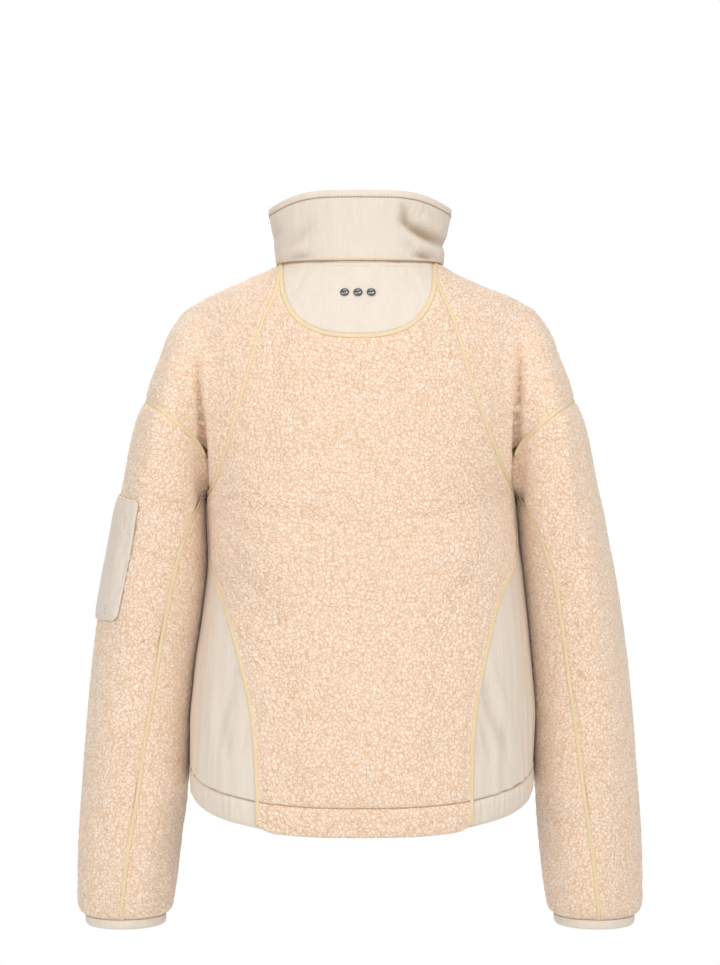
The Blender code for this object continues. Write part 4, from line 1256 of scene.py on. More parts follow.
def link_finish(tree: bpy.types.NodeTree, shader: bpy.types.Node, colour: bpy.types.NodeSocket,
                normal: bpy.types.NodeSocket) -> None:
    """Links a colour and a normal to the shader."""
    tree.links.new(colour, shader.inputs["Base Color"])
    tree.links.new(normal, shader.inputs["Normal"])


@dataclass(frozen=True)
class Finish:
    """What every finish has: a name and the values set straight on the shader."""

    name: str
    roughness: float
    metallic: float = 0.0
    specular: float = 0.3
    sheen: float = 0.0
    sheen_roughness: float = 0.5
    sheen_tint: str = "#ffffff"

    def make(self) -> bpy.types.Material:
        """The material, made once.

        Returns:
            A material whose colour and bump come from this finish's own pattern.
        """
        found = bpy.data.materials.get(self.name)
        if found:
            return found
        made = bpy.data.materials.new(self.name)
        made.use_nodes = True
        tree = made.node_tree
        shader = tree.nodes["Principled BSDF"]
        for socket, value in (("Roughness", self.roughness), ("Metallic", self.metallic),
                              ("Specular IOR Level", self.specular), ("Sheen Weight", self.sheen),
                              ("Sheen Roughness", self.sheen_roughness),
                              ("Sheen Tint", linear(self.sheen_tint))):
            shader.inputs[socket].default_value = value
        self.pattern(tree, shader)
        return made

    def pattern(self, tree: bpy.types.NodeTree, shader: bpy.types.Node) -> None:
        """Links this finish's colour and bump to the shader; each kind has its own."""
        raise NotImplementedError

    def apply(self, made: bpy.types.Object) -> None:
        """Gives an object this finish alone."""
        made.data.materials.clear()
        made.data.materials.append(self.make())


@dataclass(frozen=True)
class SherpaFleece(Finish):
    """Brushed polyester sherpa: matt curly pile, pale curls with painted tan shade between them."""

    curl: str = "#f9e7d5"
    shade: str = "#f6dfca"
    # hollow: painted shade, the tan that the creases between curls are darkened to
    hollow: str = "#dcae83"
    curl_size: float = 3.7
    bend: float = 4.5           # the curls wind at this scale, by as much as the next figure
    bend_by: float = 3.4
    fibre: float = 0.9
    patch: float = 38.0
    fibre_roughness: float = 0.7
    rise: float = 0.17              # a curl rises over this share of its cell
    parts: tuple[float, float, float] = (0.42, 0.6, 0.4)    # of pile, curl and fibre in the tone
    fibre_base: float = -0.16
    strength: float = 0.5
    curl_depth: float = 0.0009      # the bumps' depths, in metres
    fibre_depth: float = 0.0005

    def pattern(self, tree: bpy.types.NodeTree, shader: bpy.types.Node) -> None:
        """Winding curls from bent cells, with the pile's own height, slow patches and fibres.

        Args:
            tree: the material's nodes.
            shader: its Principled shader.
        """
        place = add_node(tree, "ShaderNodeTexCoord").outputs["Object"]
        pile = add_node(tree, "ShaderNodeAttribute", attribute_name="pile").outputs["Fac"]
        patch = noise_node(tree, place, self.patch, 2.0).outputs["Fac"]
        fibre = noise_node(tree, place, self.fibre, 2.0,
                           Roughness=self.fibre_roughness).outputs["Fac"]
        drift = noise_node(tree, place, self.bend, 1.0).outputs["Color"]
        by = self.bend_by * MILLIMETRE
        moved = add_node(tree, "ShaderNodeVectorMath", {0: drift, 1: (by, by, by), 2: place},
                         operation="MULTIPLY_ADD")
        cells = add_node(tree, "ShaderNodeTexVoronoi",
                         {"Vector": moved.outputs[0], "Scale": per_metre(self.curl_size)},
                         feature="DISTANCE_TO_EDGE")
        curl = add_node(tree, "ShaderNodeMapRange",
                        {"Value": cells.outputs["Distance"], "From Min": 0.0,
                         "From Max": self.rise}, interpolation_type="SMOOTHSTEP").outputs[0]
        tops = mixed(tree, patch, linear(self.curl), linear(self.shade))
        pile_part, curl_part, fibre_part = self.parts
        loose = worked_out(tree, "MULTIPLY_ADD", fibre, fibre_part, self.fibre_base)
        both = worked_out(tree, "MULTIPLY_ADD", curl, curl_part, loose)
        height = worked_out(tree, "MULTIPLY_ADD", pile, pile_part, both, clamp=True)
        rounded = bumped(tree, curl, self.strength, self.curl_depth)
        # painted shade: the cells' edges and the low pile tone take the hollow colour
        link_finish(tree, shader, mixed(tree, height, linear(self.hollow), tops),
                    bumped(tree, fibre, self.strength, self.fibre_depth, rounded))


@dataclass(frozen=True)
class CrinkledWoven(Finish):
    """Light polyester woven cloth: smooth, faintly lustrous, with an upright crinkled rib."""

    body: str = "#e3d7c9"
    shade: str = "#d3c4b3"
    # sunk: painted shade, the colour that deep folds are darkened towards
    sunk: str = "#a58b6f"
    rib: float = 1.9
    crinkle: float = 14.0
    weave: float = 0.8
    upright: float = 0.09           # the ribs' scale upright, where across it is 1
    bumps: tuple[tuple[float, float], ...] = (      # strength and depth: crinkle, rib and weave
        (0.35, 0.0016), (0.6, 0.0005), (0.25, 0.0002))

    def pattern(self, tree: bpy.types.NodeTree, shader: bpy.types.Node) -> None:
        """Ribs and crinkles from noise drawn out upright, over a fine weave.

        Args:
            tree: the material's nodes.
            shader: its Principled shader.
        """
        place = add_node(tree, "ShaderNodeTexCoord").outputs["Object"]
        drawn = add_node(tree, "ShaderNodeMapping",
                         {"Vector": place, "Scale": (1.0, 1.0, self.upright)}).outputs[0]
        rib = noise_node(tree, drawn, self.rib, 2.0).outputs["Fac"]
        slow = noise_node(tree, drawn, self.crinkle, 3.0).outputs["Fac"]
        weave = noise_node(tree, place, self.weave, 1.0).outputs["Fac"]
        tone = worked_out(tree, "MULTIPLY", rib, slow)
        colour = mixed(tree, tone, linear(self.body), linear(self.shade))
        # painted shade: the fold number darkens the cloth in deep folds
        fold = add_node(tree, "ShaderNodeAttribute", attribute_name="fold").outputs["Fac"]
        normal = None
        for height, (strength, depth) in zip((slow, rib, weave), self.bumps):
            normal = bumped(tree, height, strength, depth, normal)
        link_finish(tree, shader, mixed(tree, fold, colour, linear(self.sunk)), normal)


@dataclass(frozen=True)
class CoverThread(Finish):
    """Spun polyester coverstitch thread: matt pale yellow, in lengthwise rows and loops."""

    thread: str = "#fbebcd"
    shadow: str = "#edd6aa"
    rows: float = 3.0
    loops: float = 1.0
    slant: float = 0.7
    row_scale: float = 0.5
    loop_scale: float = 1.2
    unevenness: float = 1.5
    strength: float = 0.7
    depth: float = 0.0006

    def pattern(self, tree: bpy.types.NodeTree, shader: bpy.types.Node) -> None:
        """Rows of thread along the seam and slanting loops between them, from the UV map.

        Args:
            tree: the material's nodes.
            shader: its Principled shader.
        """
        place = add_node(tree, "ShaderNodeUVMap", uv_map="thread").outputs["UV"]
        across, slant = (add_node(tree, "ShaderNodeMapping", {"Vector": place, "Scale": scale})
                         for scale in ((self.rows, 0, 0), (self.slant, self.loops, 0)))
        rows = add_node(tree, "ShaderNodeTexWave",
                        {"Vector": across.outputs[0], "Scale": self.row_scale})
        loops = add_node(tree, "ShaderNodeTexWave",
                         {"Vector": slant.outputs[0], "Scale": self.loop_scale,
                          "Distortion": self.unevenness}, bands_direction="DIAGONAL")
        both = worked_out(tree, "MULTIPLY", rows.outputs["Fac"], loops.outputs["Fac"])
        link_finish(tree, shader, mixed(tree, both, linear(self.shadow), linear(self.thread)),
                    bumped(tree, both, self.strength, self.depth))


@dataclass(frozen=True)
class Plain(Finish):
    """A moulded, plated or painted thing with one colour and a faint unevenness."""

    colour: str = "#ffffff"
    grain: float = 2.0
    depth: float = 0.0001
    strength: float = 0.3
    unevenness: float = 0.16        # how much of the darker colour a patch can have
    darker: float = 0.8

    def pattern(self, tree: bpy.types.NodeTree, shader: bpy.types.Node) -> None:
        """One colour, a little darker in patches, and a faint bump.

        Args:
            tree: the material's nodes.
            shader: its Principled shader.
        """
        place = add_node(tree, "ShaderNodeTexCoord").outputs["Object"]
        uneven = noise_node(tree, place, self.grain, 3.0).outputs["Fac"]
        less = worked_out(tree, "MULTIPLY", uneven, self.unevenness)
        dark = tuple(self.darker * part for part in linear(self.colour)[:3]) + (1.0,)
        link_finish(tree, shader, mixed(tree, less, linear(self.colour), dark),
                    bumped(tree, uneven, self.strength, self.depth))


SHERPA = SherpaFleece("brushed polyester sherpa", 0.95, specular=0.1, sheen=0.8,
                      sheen_roughness=0.6, sheen_tint="#fff4e6")
WOVEN = CrinkledWoven("crinkled woven polyester", 0.62, specular=0.3, sheen=0.15,
                      sheen_tint="#fffaf2")
THREAD = CoverThread("spun polyester thread", 0.75, specular=0.2, sheen=0.1)
SEWING = Plain("cream sewing thread", 0.7, specular=0.2, colour="#e2d2ba", grain=0.8)
# tan thread under the collar's binding: partly its own tan, partly painted shade of the groove
# there
SHADED_THREAD = Plain("tan sewing thread", 0.8, specular=0.1, colour="#c4a480", grain=0.8)
# a cord sunk in the hem and neck seams: thread coloured tan as painted shade of the groove; the bar
# tacks use it too
TACK_THREAD_AND_SEAM_SHADE = Plain("thread sunk in a seam", 0.85, specular=0.1, colour="#c19a72", grain=0.8)
TAPE = Plain("woven zip tape", 0.8, specular=0.2, colour="#e4d8c6", grain=0.7, depth=0.0002)
TEETH = Plain("moulded acetal zip teeth", 0.35, specular=0.5, colour="#e9dfcf")
GUNMETAL = Plain("polished gunmetal plate", 0.15, metallic=1.0, colour="#7e7e82", grain=6.0,
                 depth=0.00002)
FLOOR = Plain("matt white studio paper", 0.9, specular=0.1, colour="#f4f4f3", grain=300.0)


# --- the pile and the pieces of cloth -------------------------------------------------------

@dataclass
class Pile:
    """Sherpa's curls: short round worms of pile with thin creases between them."""

    curl: float = 3.7           # from one crease to the next
    proud: float = 0.25
    deep: float = 1.1
    drift: Lattice = field(default_factory=lambda: Lattice(11))
    fine: Lattice = field(default_factory=lambda: Lattice(23))
    coarse: Lattice = field(default_factory=lambda: Lattice(37))

    def read(self, points: Array) -> tuple[Array, Array]:
        """The pile's height and its tone at points of the form.

        Args:
            points: places in millimetres.

        Returns:
            The height from the tips' level, and 0 in a crease to 1 on a curl:
            both from the smaller of two noises' sizes, |n|, which is nought
            along winding lines, on a place that a slow noise bends.
        """
        shifts = (np.zeros(3), np.full(3, 41.0), np.full(3, 83.0))
        bend = np.stack([self.drift.read(points + shift, 2.2 * self.curl) for shift in shifts], -1)
        bent = points + 0.45 * self.curl * bend
        one = np.abs(self.fine.read(bent, self.curl)) / 0.30
        other = np.abs(self.coarse.read(bent + 17.0, 1.7 * self.curl)) / 0.34
        nearest = np.minimum(one, other + 0.12)
        # the tone is painted shade: the finish darkens the creases to the hollow colour by it
        tone = 1 - np.exp(-(np.clip(nearest, 0, 1.5) / 0.42) ** 1.3)
        height = self.proud - (self.proud + self.deep) * (1 - tone) ** 1.2
        return height, tone


@dataclass(frozen=True)
class Edge:
    """A seam beside a piece: the pile is flat and low by it and swells past it."""

    line: Array
    flat: float = 0.8
    rise: float = 6.0
    depth: float = 1.9

    def read(self, points: Array) -> tuple[Array, Array]:
        """How deep points lie for this seam, and how flat the pile is there, 1 at the seam."""
        far, _ = gap_to(points, self.line)
        near = 1 - np.clip((far - self.flat) / self.rise, 0, 1)
        return self.depth * near ** 2, near ** 2.2


@dataclass(frozen=True)
class Crease:
    """A soft trough across a piece, or a ridge where its depth is below nought."""

    points: tuple[tuple[float, float], ...]     # across and up, as seen square on
    depth: float
    width: float
    face: Face = Face.BACK
    reach: float = 3.0

    def read(self, points: Array) -> Array:
        """How deep the crease makes each point.

        Args:
            points: places on the piece.

        Returns:
            d exp(-(r / w)^2) sin(pi s) at the distance r from the line as it is
            seen from its face, and the share s of its length.
        """
        line = dense(np.array([(x, 0.0, z) for x, z in self.points]), 2.0)
        room = self.reach * self.width
        low, high = line.min(axis=0) - room, line.max(axis=0) + room
        near = ((points[..., [0, 2]] > low[[0, 2]]) & (points[..., [0, 2]] < high[[0, 2]])).all(-1)
        near &= points[..., 1] * self.face.value > -20
        deep = np.zeros(points.shape[:-1])
        if near.any():
            far, share = plan_gap(points[near], line)
            facing = np.clip((points[near][:, 1] * self.face.value + 20) / 30, 0, 1)
            fade = np.sin(math.pi * np.clip(share, 0.0, 1.0))
            deep[near] = dip(far, self.depth, self.width) * fade * facing
        return deep


@dataclass(frozen=True)
class Ribs:
    """The woven cloth's soft upright gathers."""

    depth: float = 0.45
    pitch: float = 9.0
    length: float = 80.0
    seed: int = 53

    def read(self, points: Array) -> Array:
        """How proud each point stands: two sizes of noise that is drawn out upright."""
        noise = Lattice(self.seed)
        wide = noise.read(points, np.array([self.pitch, self.pitch, self.length]))
        fine = noise.read(points + 31.0, np.array([0.45, 0.45, 4.0]) * self.pitch)
        return self.depth * (wide + 0.4 * fine) / 0.5


class Cloth(Enum):
    """The two cloths: wall, how far below the pile's tips it lies, and the finish."""

    SHERPA = (5.0, 0.0, "sherpa")
    WOVEN = (1.6, 2.4, "woven")

    @property
    def wall(self) -> float:
        """The wall's thickness in millimetres."""
        return self.value[0]

    @property
    def sink(self) -> float:
        """How far the outer side lies below the form."""
        return self.value[1]

    @property
    def finish(self) -> Finish:
        """The finish of the cloth."""
        return SHERPA if self is Cloth.SHERPA else WOVEN


@dataclass
class Panel:
    """A cut piece of cloth that stands for one CAD node."""

    node: str
    cloth: Cloth
    skin: Skin
    edges: list[Edge]
    creases: list[Crease] = field(default_factory=list)
    rests_on: tuple[str, ...] = ()
    spacing: float = 2.4            # the longest interval; most are much shorter
    on_form: bool = True
    ratio: int = 4
    ribs: Ribs = Ribs()
    gathered_at: float = -470.0     # below this the woven cloth's ribs deepen
    closing: float = 0.0            # how far it swells at its sleeve's gap, over half the gap
    closing_side: str = "side"      # which column of CLOSING it follows
    closing_centre: float = -8.0
    closing_width: float = 44.0

    def build(self, form: Form, pile: Pile) -> bpy.types.Object:
        """Makes the wall: plain grid, fine grid, seams, creases and pile.

        Args:
            form: the form that the piece lies on.
            pile: the curls, used on sherpa.

        Returns:
            The finished object.
        """
        plain = self.skin.finer(self.skin.steps(self.spacing * self.ratio))
        if self.on_form:
            mask = plain.used()
            plain.points[mask] = form.pull(plain.points[mask], 2)
        normal = np.zeros_like(plain.points)
        normal[plain.used()] = form.outward(plain.points[plain.used()])
        steps = tuple(np.full(size, self.ratio) for size in plain.cells.shape)
        fine = plain.finer(steps)
        way = plain.finer(steps, normal).points
        size = np.linalg.norm(way, axis=-1, keepdims=True)
        way = way / np.where(size > 0, size, 1)

        depth, calm = np.zeros(fine.points.shape[:2]), np.zeros(fine.points.shape[:2])
        for edge in self.edges:
            low, flat = edge.read(fine.points)
            depth, calm = np.maximum(depth, low), np.maximum(calm, flat)
        folds = sum((crease.read(fine.points) for crease in self.creases), np.zeros(depth.shape))
        swell = np.zeros(depth.shape)
        if self.closing:
            z = fine.points[..., 2]
            off = (fine.points[..., 1] - self.closing_centre) / self.closing_width
            gap = ARM.read("inner", z) - TORSO.read("half_width", z)
            reach = CLOSING.read(self.closing_side, z)
            swell = (gap / 2 + self.closing) * reach * np.exp(-off ** 4)
        smooth = fine.points - way * (self.cloth.sink + folds - swell)[..., None]
        inner = (smooth - way * self.cloth.wall)[::self.ratio, ::self.ratio]
        if self.cloth is Cloth.SHERPA:
            curls, tone = pile.read(fine.points)
            lift = curls * (1 - 0.85 * calm) - depth
            # painted shade: the pile tone darkens the curls' creases, and more in the folds'
            # creases
            tone = (tone * (1 - calm) + 0.55 * calm) * (1 - 0.85 * np.clip(folds / 6, 0, 1) ** 2)
            outer = smooth + way * lift[..., None]
            numbers = {"pile": tone}
        else:
            more = 1 + np.clip((self.gathered_at + 60 - fine.points[..., 2]) / 60, 0, 1.2)
            lift = self.ribs.read(fine.points) * more * (1 - 0.8 * calm) - 0.3 * depth
            outer = smooth + way * lift[..., None]
            # painted shade: the fold number takes the woven cloth towards its sunk colour in deep
            # folds
            numbers = {"fold": 0.5 * np.clip(folds / 5, 0, 1) ** 1.5}
        points = np.concatenate([outer.reshape(-1, 3), inner.reshape(-1, 3)])
        groups = wall_faces(fine, plain.cells, self.ratio)
        behind = 0.7 if self.cloth is Cloth.SHERPA else 0.0
        numbers = {key: np.r_[values.ravel(), np.full(inner.shape[0] * inner.shape[1], behind)]
                   for key, values in numbers.items()}
        points, groups, numbers = drop_unused(points, groups, numbers)
        made = make_object(f"cloth_{self.node}", points, groups, numbers)
        make_outward(made)
        self.cloth.finish.apply(made)
        width, length, area = self.skin.flat_size()
        declare(made, self.node, (width, length, area))
        return made


def declare(made: bpy.types.Object, node: str, size: tuple[float, float, float]) -> None:
    """Hides the node that an object stands for, lets it ride with the jacket and logs its cut.

    Args:
        made: the object.
        node: the CAD node that it replaces.
        size: the cut's width, length and area in metres.
    """
    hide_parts(node)
    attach(made, "root")
    width, length, area = size
    area = min(area, width * length)
    LOG.info("%s: %d faces, cut %.3f x %.3f m, %.4f m2", made.name, len(made.data.polygons),
             width, length, area)


@dataclass
class Coverstitch:
    """The yellow band that is sewn over a seam."""

    width: float = 3.9
    lift: float = 0.42
    wall: float = 0.9
    pitch: float = 2.4
    across: int = 6
    hem_drop: float = 28.5
    hem_shares: tuple[float, ...] = (0, 0.06, 0.15, 0.6, 0.85)     # places down the hem's roll
    hem_sunk: tuple[float, ...] = (2.0, 0.7, 0.3, 0.7)      # and the depths after the first

    def build(self, name: str, line: Array, form: Form, shift: float = 0.0,
              depth: float = 1.35, end_depth: float | None = None) -> bpy.types.Object:
        """Makes one band along a seam.

        Args:
            name: the object's name.
            line: the seam's points on the form.
            form: the form.
            shift: how far the band's middle lies from the seam, to the line's left.
            depth: how far below the form it lies.
            end_depth: how far below it lies over the hem's roll, the last part of the line.

        Returns:
            The band.
        """
        path = dense(line, self.pitch)
        path[1:-1] = form.pull(path[1:-1], 2)
        normal = form.outward(path)
        ahead = np.gradient(path, axis=0)
        ahead = unit(ahead)
        left = np.cross(normal, ahead)
        left = unit(left)
        length = along(path)
        sunk = np.full(len(path), depth)
        if end_depth is not None:
            down = np.clip(1 - (length[-1] - length) / self.hem_drop, 0, 1)
            hem = np.interp(down, (*self.hem_shares, 1), (depth, *self.hem_sunk, end_depth))
            sunk = np.where(down > 0, hem, depth)
        share = np.linspace(-1, 1, self.across + 1)
        top = self.lift * (1 - share ** 4) + 0.12 * np.cos(3 * math.pi * share)
        share = np.r_[share, share[::-1]]
        height = np.r_[top, np.full(self.across + 1, -self.wall)]
        offset = shift + share * self.width / 2
        rings = (path[:, None] + left[:, None] * offset[None, :, None]
                 + normal[:, None] * (height[None] - sunk[:, None])[..., None])
        uv = np.stack(np.broadcast_arrays((share + 1)[None] / 2, length[:, None] / self.width), -1)
        made = sweep(name, rings, uv=uv)
        THREAD.apply(made)
        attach(made, "root")
        LOG.info("%s: %.0f mm of coverstitch", name, length[-1])
        return made


@dataclass
class Topstitch:
    """A row of lockstitches, or one sunk cord of thread where they run together."""

    length: float = 2.3
    gap: float = 0.9
    radius: float = 0.26
    sides: int = 6

    def row(self, name: str, path: Array, normal: Array, finish: Finish) -> bpy.types.Object:
        """Small round-ended stitches one behind the other.

        Args:
            name: the object's name.
            path: the points that they follow, closely spaced.
            normal: the cloth's outward normal at each.
            finish: the thread's finish.

        Returns:
            The stitches as one mesh: each a rod whose radius falls off to its ends.
        """
        total = along(path)
        count = max(int(total[-1] / (self.length + self.gap)), 1)
        at = (np.arange(count) + 0.5) * total[-1] / count
        middle, facing = read_along(at, total, path), read_along(at, total, normal)
        ahead = read_along(at, total, np.gradient(path, total, axis=0))
        ahead = unit(ahead)
        left = np.cross(facing, ahead)
        left = unit(left)
        frames = np.stack([ahead, left, np.cross(ahead, left)], axis=1)
        turn = circle_angles(self.sides)
        ring = np.stack([0 * turn, np.cos(turn), np.sin(turn)], axis=-1)
        spots, sizes = np.array([-0.5, -0.32, 0.32, 0.5]), np.array([0.45, 1.0, 1.0, 0.45])
        shape = ring[None] * (self.radius * sizes)[:, None, None]
        shape = shape + (spots * self.length)[:, None, None] * np.array([1.0, 0, 0])
        number = np.arange(4 * self.sides).reshape(4, self.sides)
        after = np.roll(number, -1, axis=1)
        quads = np.stack([number[:-1], after[:-1], after[1:], number[1:]], -1).reshape(-1, 4)
        ends = [row[[0, 1, 2, 3]] for row in (number[0, ::-1], number[-1])]
        ends += [row[[0, 3, 4, 5]] for row in (number[0, ::-1], number[-1])]
        made = repeated(name, shape.reshape(-1, 3), np.concatenate([quads, ends]), middle, frames)
        finish.apply(made)
        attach(made, "root")
        LOG.info("%s: %d stitches", name, count)
        return made

    def cord(self, name: str, path: Array, radius: float, finish: Finish,
             closed: bool = False) -> bpy.types.Object:
        """One round cord along a path.

        Args:
            name: the object's name.
            path: the points of its middle.
            radius: its radius.
            finish: its finish.
            closed: whether it runs into its own start.

        Returns:
            The cord.
        """
        ahead = np.gradient(path, axis=0)
        if closed:
            ahead = np.roll(path, -1, axis=0) - np.roll(path, 1, axis=0)
        ahead = unit(ahead)
        side = np.cross(ahead, [0.0, 0.31, 1.0])
        side = unit(side)
        up = np.cross(side, ahead)
        turn = circle_angles(self.sides)
        rings = path[:, None] + radius * (np.cos(turn)[None, :, None] * side[:, None]
                                          + np.sin(turn)[None, :, None] * up[:, None])
        made = sweep(name, rings, closed)
        finish.apply(made)
        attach(made, "root")
        return made


# --- sub-assemblies -----------------------------------------------------------------------

@dataclass
class Body:
    """The back, the fronts, the shoulders and the side panels, with the sewing between them."""

    cut: Cut
    pile: Pile
    stitch: Coverstitch = field(default_factory=Coverstitch)
    band_beside: float = 2.4        # a band that lies on the sherpa, from the seam
    side_band_beside: float = -0.9  # and one that lies just off it, towards the woven cloth
    wide_flat: float = 4.9
    into_fold: float = -190.0       # below this the armhole's band lies hidden in the fold
    seams: dict[int, dict[str, Array]] = field(default_factory=dict)
    hems: dict[str, Array] = field(default_factory=dict)
    zip_sides: dict[int, Array] = field(default_factory=dict)

    def __post_init__(self) -> None:
        """Works out the seams of both halves."""
        self.seams = {side.value: self.cut.body_seams(side.value) for side in Side}

    def centred(self, line: Array) -> Edge:
        """A seam whose band lies astride it."""
        return Edge(dense(line), flat=1.9, rise=5.0, depth=1.9)

    def beside(self, line: Array) -> Edge:
        """A seam whose band lies wholly on this piece."""
        return Edge(dense(line), flat=self.wide_flat, rise=4.5, depth=2.0)

    def build_back(self) -> None:
        """The half-round yoke, the back panel and the bands round them."""
        cut, form = self.cut, self.cut.form
        yoke, low = cut.yoke_skin()
        woven_rim = [Edge(dense(low), flat=0.3, rise=2.5, depth=1.2)]
        Panel("back_yoke", Cloth.WOVEN, Skin.whole(yoke), woven_rim, YOKE_CREASES,
              ("shoulder_left", "shoulder_right"), 2.2).build(form, self.pile)
        left, right, below = cut.back_skins(low, self.seams)
        n, strip = cut.yoke_side_rows, cut.strip_columns
        shape = n + below.shape[0], below.shape[1]
        points = np.zeros((*shape, 3))
        points[:n, :strip + 1], points[:n, -strip - 1:] = left[:-1], right[:-1]
        points[:n, strip + 1:-strip - 1] = below[:1, strip + 1:-strip - 1]
        points[n:] = below
        cells = np.ones((shape[0] - 1, shape[1] - 1), bool)
        cells[:n, strip:-strip] = False
        parts = [(slice(0, n + 1), slice(0, strip + 1)),
                 (slice(0, n + 1), slice(shape[1] - strip - 1, shape[1])),
                 (slice(n, shape[0]), slice(0, shape[1]))]
        edges = [self.beside(low), Edge(dense(below[-1]), 0.6, 5.0, 1.8)]
        for side in Side:
            seams = self.seams[side.value]
            edges += [self.centred(seams["raglan_back"]), self.beside(seams["side_back"])]
        Panel("back_panel", Cloth.SHERPA, Skin(points, cells, parts), edges, BACK_CREASES,
              ("shoulder_left", "shoulder_right")).build(form, self.pile)
        self.hems["hem_back"] = below[-1]
        self.stitch.build("stitch_yoke", low, form, -self.band_beside)

    def build_half(self, side: Side) -> None:
        """One shoulder, side panel and front, with their bands.

        Args:
            side: the wearer's side.
        """
        cut, form, seams, tag = self.cut, self.cut.form, self.seams[side.value], side.tag
        shoulder = Skin.whole(cut.shoulder_skin(seams, side.value))
        edges = [self.centred(seams[key]) for key in ("raglan_back", "raglan_front", "armhole")]
        edges.append(Edge(dense(seams["neck_side"]), 0.4, 4.0, 1.6))
        Panel(f"shoulder_{tag}", Cloth.SHERPA, shoulder, edges, SHOULDER_CREASES[side],
              ("collar",), 2.6).build(form, self.pile)

        hem = cut.hem_side_line(seams["side_back"][-1], seams["side_front"][-1], side.value)
        bounds = seams["under"], hem, seams["side_back"], seams["side_front"]
        grid = cut.body_skin(bounds, side.value)
        rims = [Edge(dense(seams[key]), 0.2, 2.0, 1.0) for key in ("side_back", "side_front")]
        Panel(f"side_panel_{tag}", Cloth.WOVEN, Skin.whole(grid), rims, SIDE_CREASES[side],
              (f"sleeve_under_{tag}",), 2.6, ribs=Ribs(0.4), closing=2.6).build(form, self.pile)
        self.hems[f"hem_side_{tag}"] = hem

        grid, hem = cut.front_skin(seams, side.value)
        edges = [self.centred(seams["raglan_front"]), self.beside(seams["side_front"]),
                 Edge(dense(grid[:, -1]), 0.8, 4.0, 1.6), Edge(dense(hem), 0.6, 5.0, 1.8),
                 Edge(dense(seams["neck_front"]), 0.4, 4.0, 1.6)]
        Panel(f"front_{tag}", Cloth.SHERPA, Skin.whole(grid), edges, FRONT_CREASES[side],
              (f"shoulder_{tag}",), 2.9).build(form, self.pile)
        self.hems[f"hem_front_{tag}"] = hem
        self.zip_sides[side.value] = grid[:, -1]

        for key in ("raglan_back", "raglan_front", "armhole"):
            line = dense(seams[key])
            shown = line[:, 2] > self.into_fold if key == "armhole" else slice(None)
            self.stitch.build(f"stitch_{key}_{tag}", line[shown], form)


@dataclass
class Sleeve:
    """A sleeve of two long pieces with its lengthwise coverstitch."""

    cut: Cut
    side: Side
    seams: dict[str, Array]
    stitch: Coverstitch = field(default_factory=Coverstitch)

    def build(self, pile: Pile) -> None:
        """Makes both halves and the two long bands.

        Args:
            pile: the curls.
        """
        form, tag = self.cut.form, self.side.tag
        outer, under = self.cut.sleeve_skins(self.seams, self.side.value)
        long_edges = [Edge(dense(outer[:, k]), 1.9, 5.0, 1.9) for k in (0, -1)]
        end = [Edge(dense(np.concatenate([outer[-1], under[-1][::-1]])), 0.4, 7.0, 2.2)]
        top = [Edge(dense(self.seams["armhole"]), 1.9, 5.0, 1.9)]
        Panel(f"sleeve_outer_{tag}", Cloth.SHERPA, Skin.whole(outer), long_edges + end + top,
              SLEEVE_CREASES[self.side], (f"shoulder_{tag}",), 2.6).build(form, pile)
        Panel(f"sleeve_under_{tag}", Cloth.SHERPA, Skin.whole(under), long_edges + end,
              [], (f"sleeve_outer_{tag}",), 2.4, on_form=False, closing=0.9,
              closing_side="sleeve").build(form, pile)
        for key, k in (("back", 0), ("front", -1)):
            self.stitch.build(f"stitch_sleeve_{key}_{tag}", outer[:, k], form)


@dataclass
class HemBand:
    """The hem's channel under one piece: a soft roll that hangs from the hem seam."""

    node: str
    cloth: Cloth
    line: Array
    carrier: str
    rows: int = 17
    spacing: float = 1.6
    end_rise: float = 3.2           # how much higher the sherpa's roll ends at its corners
    end_run: float = 8.0
    seam_dip: tuple[float, float] = (0.9, 1.8)      # depth and reach, at the hem seam
    calm_reach: float = 3.0         # the pile is calmer this near the seam
    ribs: Ribs = Ribs(0.75, 4.2, 46.0, 59)

    @property
    def drop(self) -> float:
        """How deep the channel is: the sherpa hangs a little lower."""
        return 28.5 if self.cloth is Cloth.SHERPA else 26.0

    def skin(self, form: Form) -> Array:
        """The band's grid on the form: the hem seam, moved down row by row."""
        top = dense(self.line, self.spacing)
        grid = np.repeat(top[None], self.rows, axis=0)
        nearest = np.minimum(along(top), along(top)[-1] - along(top))
        rise = dip(nearest, self.end_rise, self.end_run) * (self.node == "hem_back")
        grid[..., 2] -= even(self.rows - 1)[:, None] * (self.drop - rise)[None]
        grid[1:] = form.pull(grid[1:], 4)
        return grid

    def build(self, form: Form, pile: Pile) -> Array:
        """Makes the channel.

        Args:
            form: the form.
            pile: the curls, used on sherpa.

        Returns:
            Its grid on the form.
        """
        grid = self.skin(form)
        normal, share = form.outward(grid), even(self.rows - 1)[:, None]
        outer_sink, inner_sink = HEM_ROLL.read("outer", share), HEM_ROLL.read("inner", share)
        seam = dip(share * self.drop, *self.seam_dip)
        if self.cloth is Cloth.SHERPA:
            curls, tone = pile.read(grid)
            calm = dip(share * self.drop, 1.0, self.calm_reach)
            tucked = np.clip((share - 0.8) / 0.2, 0, 1)
            lift = curls * (1 - 0.8 * calm) * (1 - 0.6 * tucked) - seam
            # painted shade: the pile tone darkens the curls' creases to the hollow colour
            numbers = {"pile": tone * (1 - 0.6 * calm) + 0.3 * calm}
            outer = grid - normal * (outer_sink - lift)[..., None]
        else:
            lift = self.ribs.read(grid) * (1 - 0.5 * np.clip((share - 0.8) / 0.2, 0, 1)) - seam
            numbers = {}
            outer = grid - normal * (outer_sink + 1.6 - lift)[..., None]
            inner_sink = inner_sink + 0.4
        inner = grid - normal * (inner_sink + 0 * outer_sink)[..., None]
        made = shell(f"cloth_{self.node}", outer, inner, numbers=numbers)
        self.cloth.finish.apply(made)
        width = along(grid[0])[-1]
        size = width * MILLIMETRE, self.drop * MILLIMETRE, width * self.drop * MILLIMETRE ** 2
        declare(made, self.node, size)
        return grid


